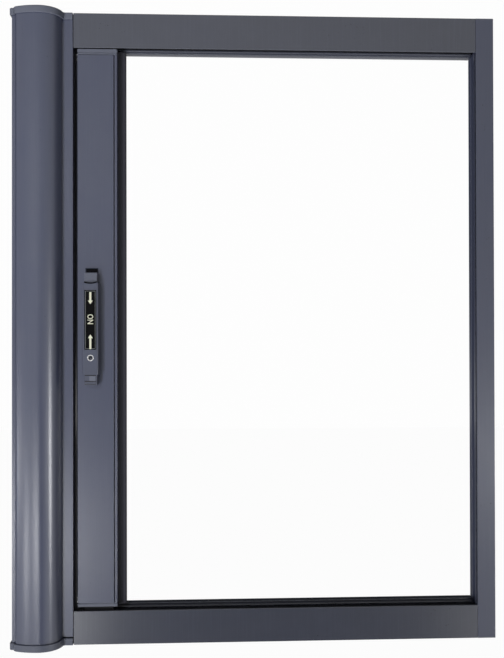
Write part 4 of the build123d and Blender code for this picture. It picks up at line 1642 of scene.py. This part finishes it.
@dataclass
class Studio:
    """Camera, lights, pale table and white surroundings of the photograph.

    The pairs named edge hold where a part of the surroundings fades in and where it is full.
    """

    spot: Vector = field(default_factory=lambda: Vector((0.21145, -1.183, -0.0097)))
    right: Vector = field(default_factory=lambda: Vector((0.99897, -0.04535, -0.00209)))
    down: Vector = field(default_factory=lambda: Vector((-0.00177, 0.00724, -0.99997)))
    focal: float = 900.0
    tall: float = 658.0
    sensor: float = 36.0
    white: float = 0.985
    mirrored: float = 0.66
    mirrored_above: float = 0.55
    mirrored_behind: float = 0.85
    mirrored_beneath: float = 0.9
    beneath: float = 1.14
    behind: float = 0.25
    dark_way: tuple[float, float, float] = (-0.0249, -0.9507, -0.309)
    dark_edge: Point2 = (0.9135, 0.9962)
    back_edge: Point2 = (-0.35, 0.35)
    above_edge: Point2 = (0.38, 0.75)
    beneath_edge: Point2 = (-0.25, -0.85)
    low_edge: Point2 = (0.0, -0.12)
    lowest_edge: Point2 = (-0.5, -0.75)
    table_gap: float = 0.5 * MM
    table_white: float = 0.85
    table_glow: float = 0.066
    table_mix: Point2 = (0.5, 0.47)
    table_sides: Point2 = (-1.6, 2.2)
    table_depths: tuple[float, float, float] = (-0.13, -0.037, 2.6)
    lamps: tuple[Lamp, ...] = (
        Lamp("key", (0.06, -0.03, 0.0), -26.0, -22.0, (5.0, 5.0), 185.0, glint=False),
        Lamp("key_low", (0.06, -0.03, -0.2), -10.0, -40.0, (10.0, 10.0), 12.5, glint=False),
        Lamp("key_top", (0.1, -0.03, 0.35), -24.0, -3.0, (18.0, 18.0), 9.2, glint=False, distance=0.9),
        Lamp("streak_right", (0.0, -0.05, -0.15), 58.0, -9.5, (7.0, 17.0), 18.0),
        Lamp("streak_right_top", (0.0, -0.05, -0.12), 53.0, -6.0, (8.0, 12.0), 6.5),
        Lamp("streak_middle", (0.0, -0.06, -0.22), -15.5, -12.9, (6.0, 8.5), 18.0),
        Lamp("streak_left", (-0.02, -0.05, -0.24), -36.0, -13.8, (5.0, 8.0), 17.8),
        Lamp("streak_edge", (-0.02, -0.05, -0.14), -51.0, -7.0, (5.0, 6.0), 5.8),
        Lamp("streak_edge_low", (-0.02, -0.05, -0.18), -58.0, -9.0, (5.0, 9.0), 11.5),
        Lamp("low_band", (-0.01, -0.05, -0.19), -34.0, -10.5, (44.0, 10.0), 0.36),
        Lamp("flange_glint", (0.028, -0.035, -0.27), -9.5, -13.6, (3.6, 4.0), 12.0),
        Lamp("rail_glint", (0.06, -0.03, -0.37), -11.0, -18.5, (5.0, 6.0), 4.8),
        Lamp("right_glint", (0.5, -0.03, -0.34), 22.0, -18.0, (12.0, 9.0), 0.85),
        Lamp("jamb_glint", (0.565, -0.03, -0.16), 17.0, -7.6, (8.0, 8.0), 3.5),
    )

    def build(self) -> None:
        """Set the studio up."""
        self._camera()
        self._world()
        self._floor()
        for lamp in self.lamps:
            lamp.hang()
        bpy.context.scene.view_settings.view_transform = "Standard"

    def _camera(self) -> None:
        """The camera, as fitted to the photograph."""
        data = bpy.data.cameras.new("photo_camera")
        data.sensor_width = self.sensor
        data.lens = self.focal / self.tall * self.sensor
        data.clip_start, data.clip_end = 0.02, 50.0
        camera = linked("photo_camera", data)
        right = self.right.normalized()
        up = (-self.down - right * right.dot(-self.down)).normalized()
        turn = Matrix((right, up, right.cross(up))).transposed().to_4x4()
        camera.matrix_world = Matrix.Translation(self.spot) @ turn
        bpy.context.scene.camera = camera

    def _world(self) -> None:
        """White to the camera; to the door, levels from in front, above, behind and below."""
        world = bpy.data.worlds.new("white_room")
        world.use_nodes = True
        bpy.context.scene.world = world
        maker = TreeMaker(world.node_tree)
        way = maker.node("ShaderNodeTexCoord").outputs["Generated"]
        parts = maker.node("ShaderNodeSeparateXYZ", None, {0: way})
        height = Term(maker, parts.outputs[2])
        back = Term(maker, parts.outputs[1]).between(*self.back_edge)
        beneath, above = height.between(*self.beneath_edge), height.between(*self.above_edge)
        dark = maker.term("ShaderNodeVectorMath", {"operation": "DOT_PRODUCT"}, {
            0: way, 1: self.dark_way}, 1).between(*self.dark_edge)
        shown = maker.node("ShaderNodeLightPath")
        mirror = Term(maker, shown.outputs["Is Glossy Ray"])
        seen = (1.0 - back) * (1.0 - above) * (1.0 - dark) * self.mirrored + above * self.mirrored_above
        seen = seen + back * height.between(*self.low_edge) * self.mirrored_behind
        seen = seen + height.between(*self.lowest_edge) * self.mirrored_beneath
        spread = beneath * self.beneath + back * self.behind
        level = mirror * seen + (1.0 - mirror) * spread
        white = Term(maker, shown.outputs["Is Camera Ray"]).greatest(
            Term(maker, shown.outputs["Is Transmission Ray"]))
        light = maker.node("ShaderNodeBackground", None, {
            "Color": (1.0, 1.0, 1.0), "Strength": white * self.white + (1.0 - white) * level})
        maker.node("ShaderNodeOutputWorld", None, {"Surface": light.outputs[0]})

    def _floor(self) -> None:
        """A white table top that keeps a faint shadow; the door doesn't mirror its front edge."""
        level = low("cassette_bottom_cap").z - self.table_gap
        maker = Paint("white_table")
        diffuse = maker.node("ShaderNodeBsdfDiffuse", None, {"Color": (self.table_white,) * 3})
        seen = maker.term("ShaderNodeLightPath", None, None, "Is Camera Ray")
        glow = maker.node("ShaderNodeEmission", None, {
            "Color": (1.0, 1.0, 1.0), "Strength": seen * (1.0 - self.table_glow) + self.table_glow})
        share, more = self.table_mix
        both = maker.node("ShaderNodeMixShader", None, {
            0: seen * more + share, 1: diffuse.outputs[0], 2: glow.outputs[0]})
        maker.node("ShaderNodeOutputMaterial", None, {"Surface": both.outputs[0]})
        left, right = self.table_sides
        front, door, back = self.table_depths
        for name, near, far in (("table_edge", front, door), ("table_top", door, back)):
            data = bpy.data.meshes.new(name)
            data.from_pydata([(left, near, level), (right, near, level), (right, far, level),
                              (left, far, level)], [], [(0, 1, 2, 3)])
            data.materials.append(maker.material)
            floor = linked(name, data)
            floor.visible_shadow = False
            floor.visible_glossy = name == "table_top"


def build_door() -> None:
    """Build the door's sub-assemblies in order."""
    dresser = Dresser()
    piles = PileMaker()
    fittings = Fittings()
    Cassette(dresser, piles, fittings).build()
    RollerScreen(dresser).build()
    for end in End:
        Rail(dresser, piles, end).build()
    StrikeJamb(dresser, piles).build()
    PullBar(dresser).build()
    LatchHandle(dresser, fittings).build()


def main() -> None:
    """Build the door and its studio."""
    logging.basicConfig(level=logging.INFO, format="%(message)s")
    Studio().build()
    build_door()


if __name__ == "__main__":
    main()
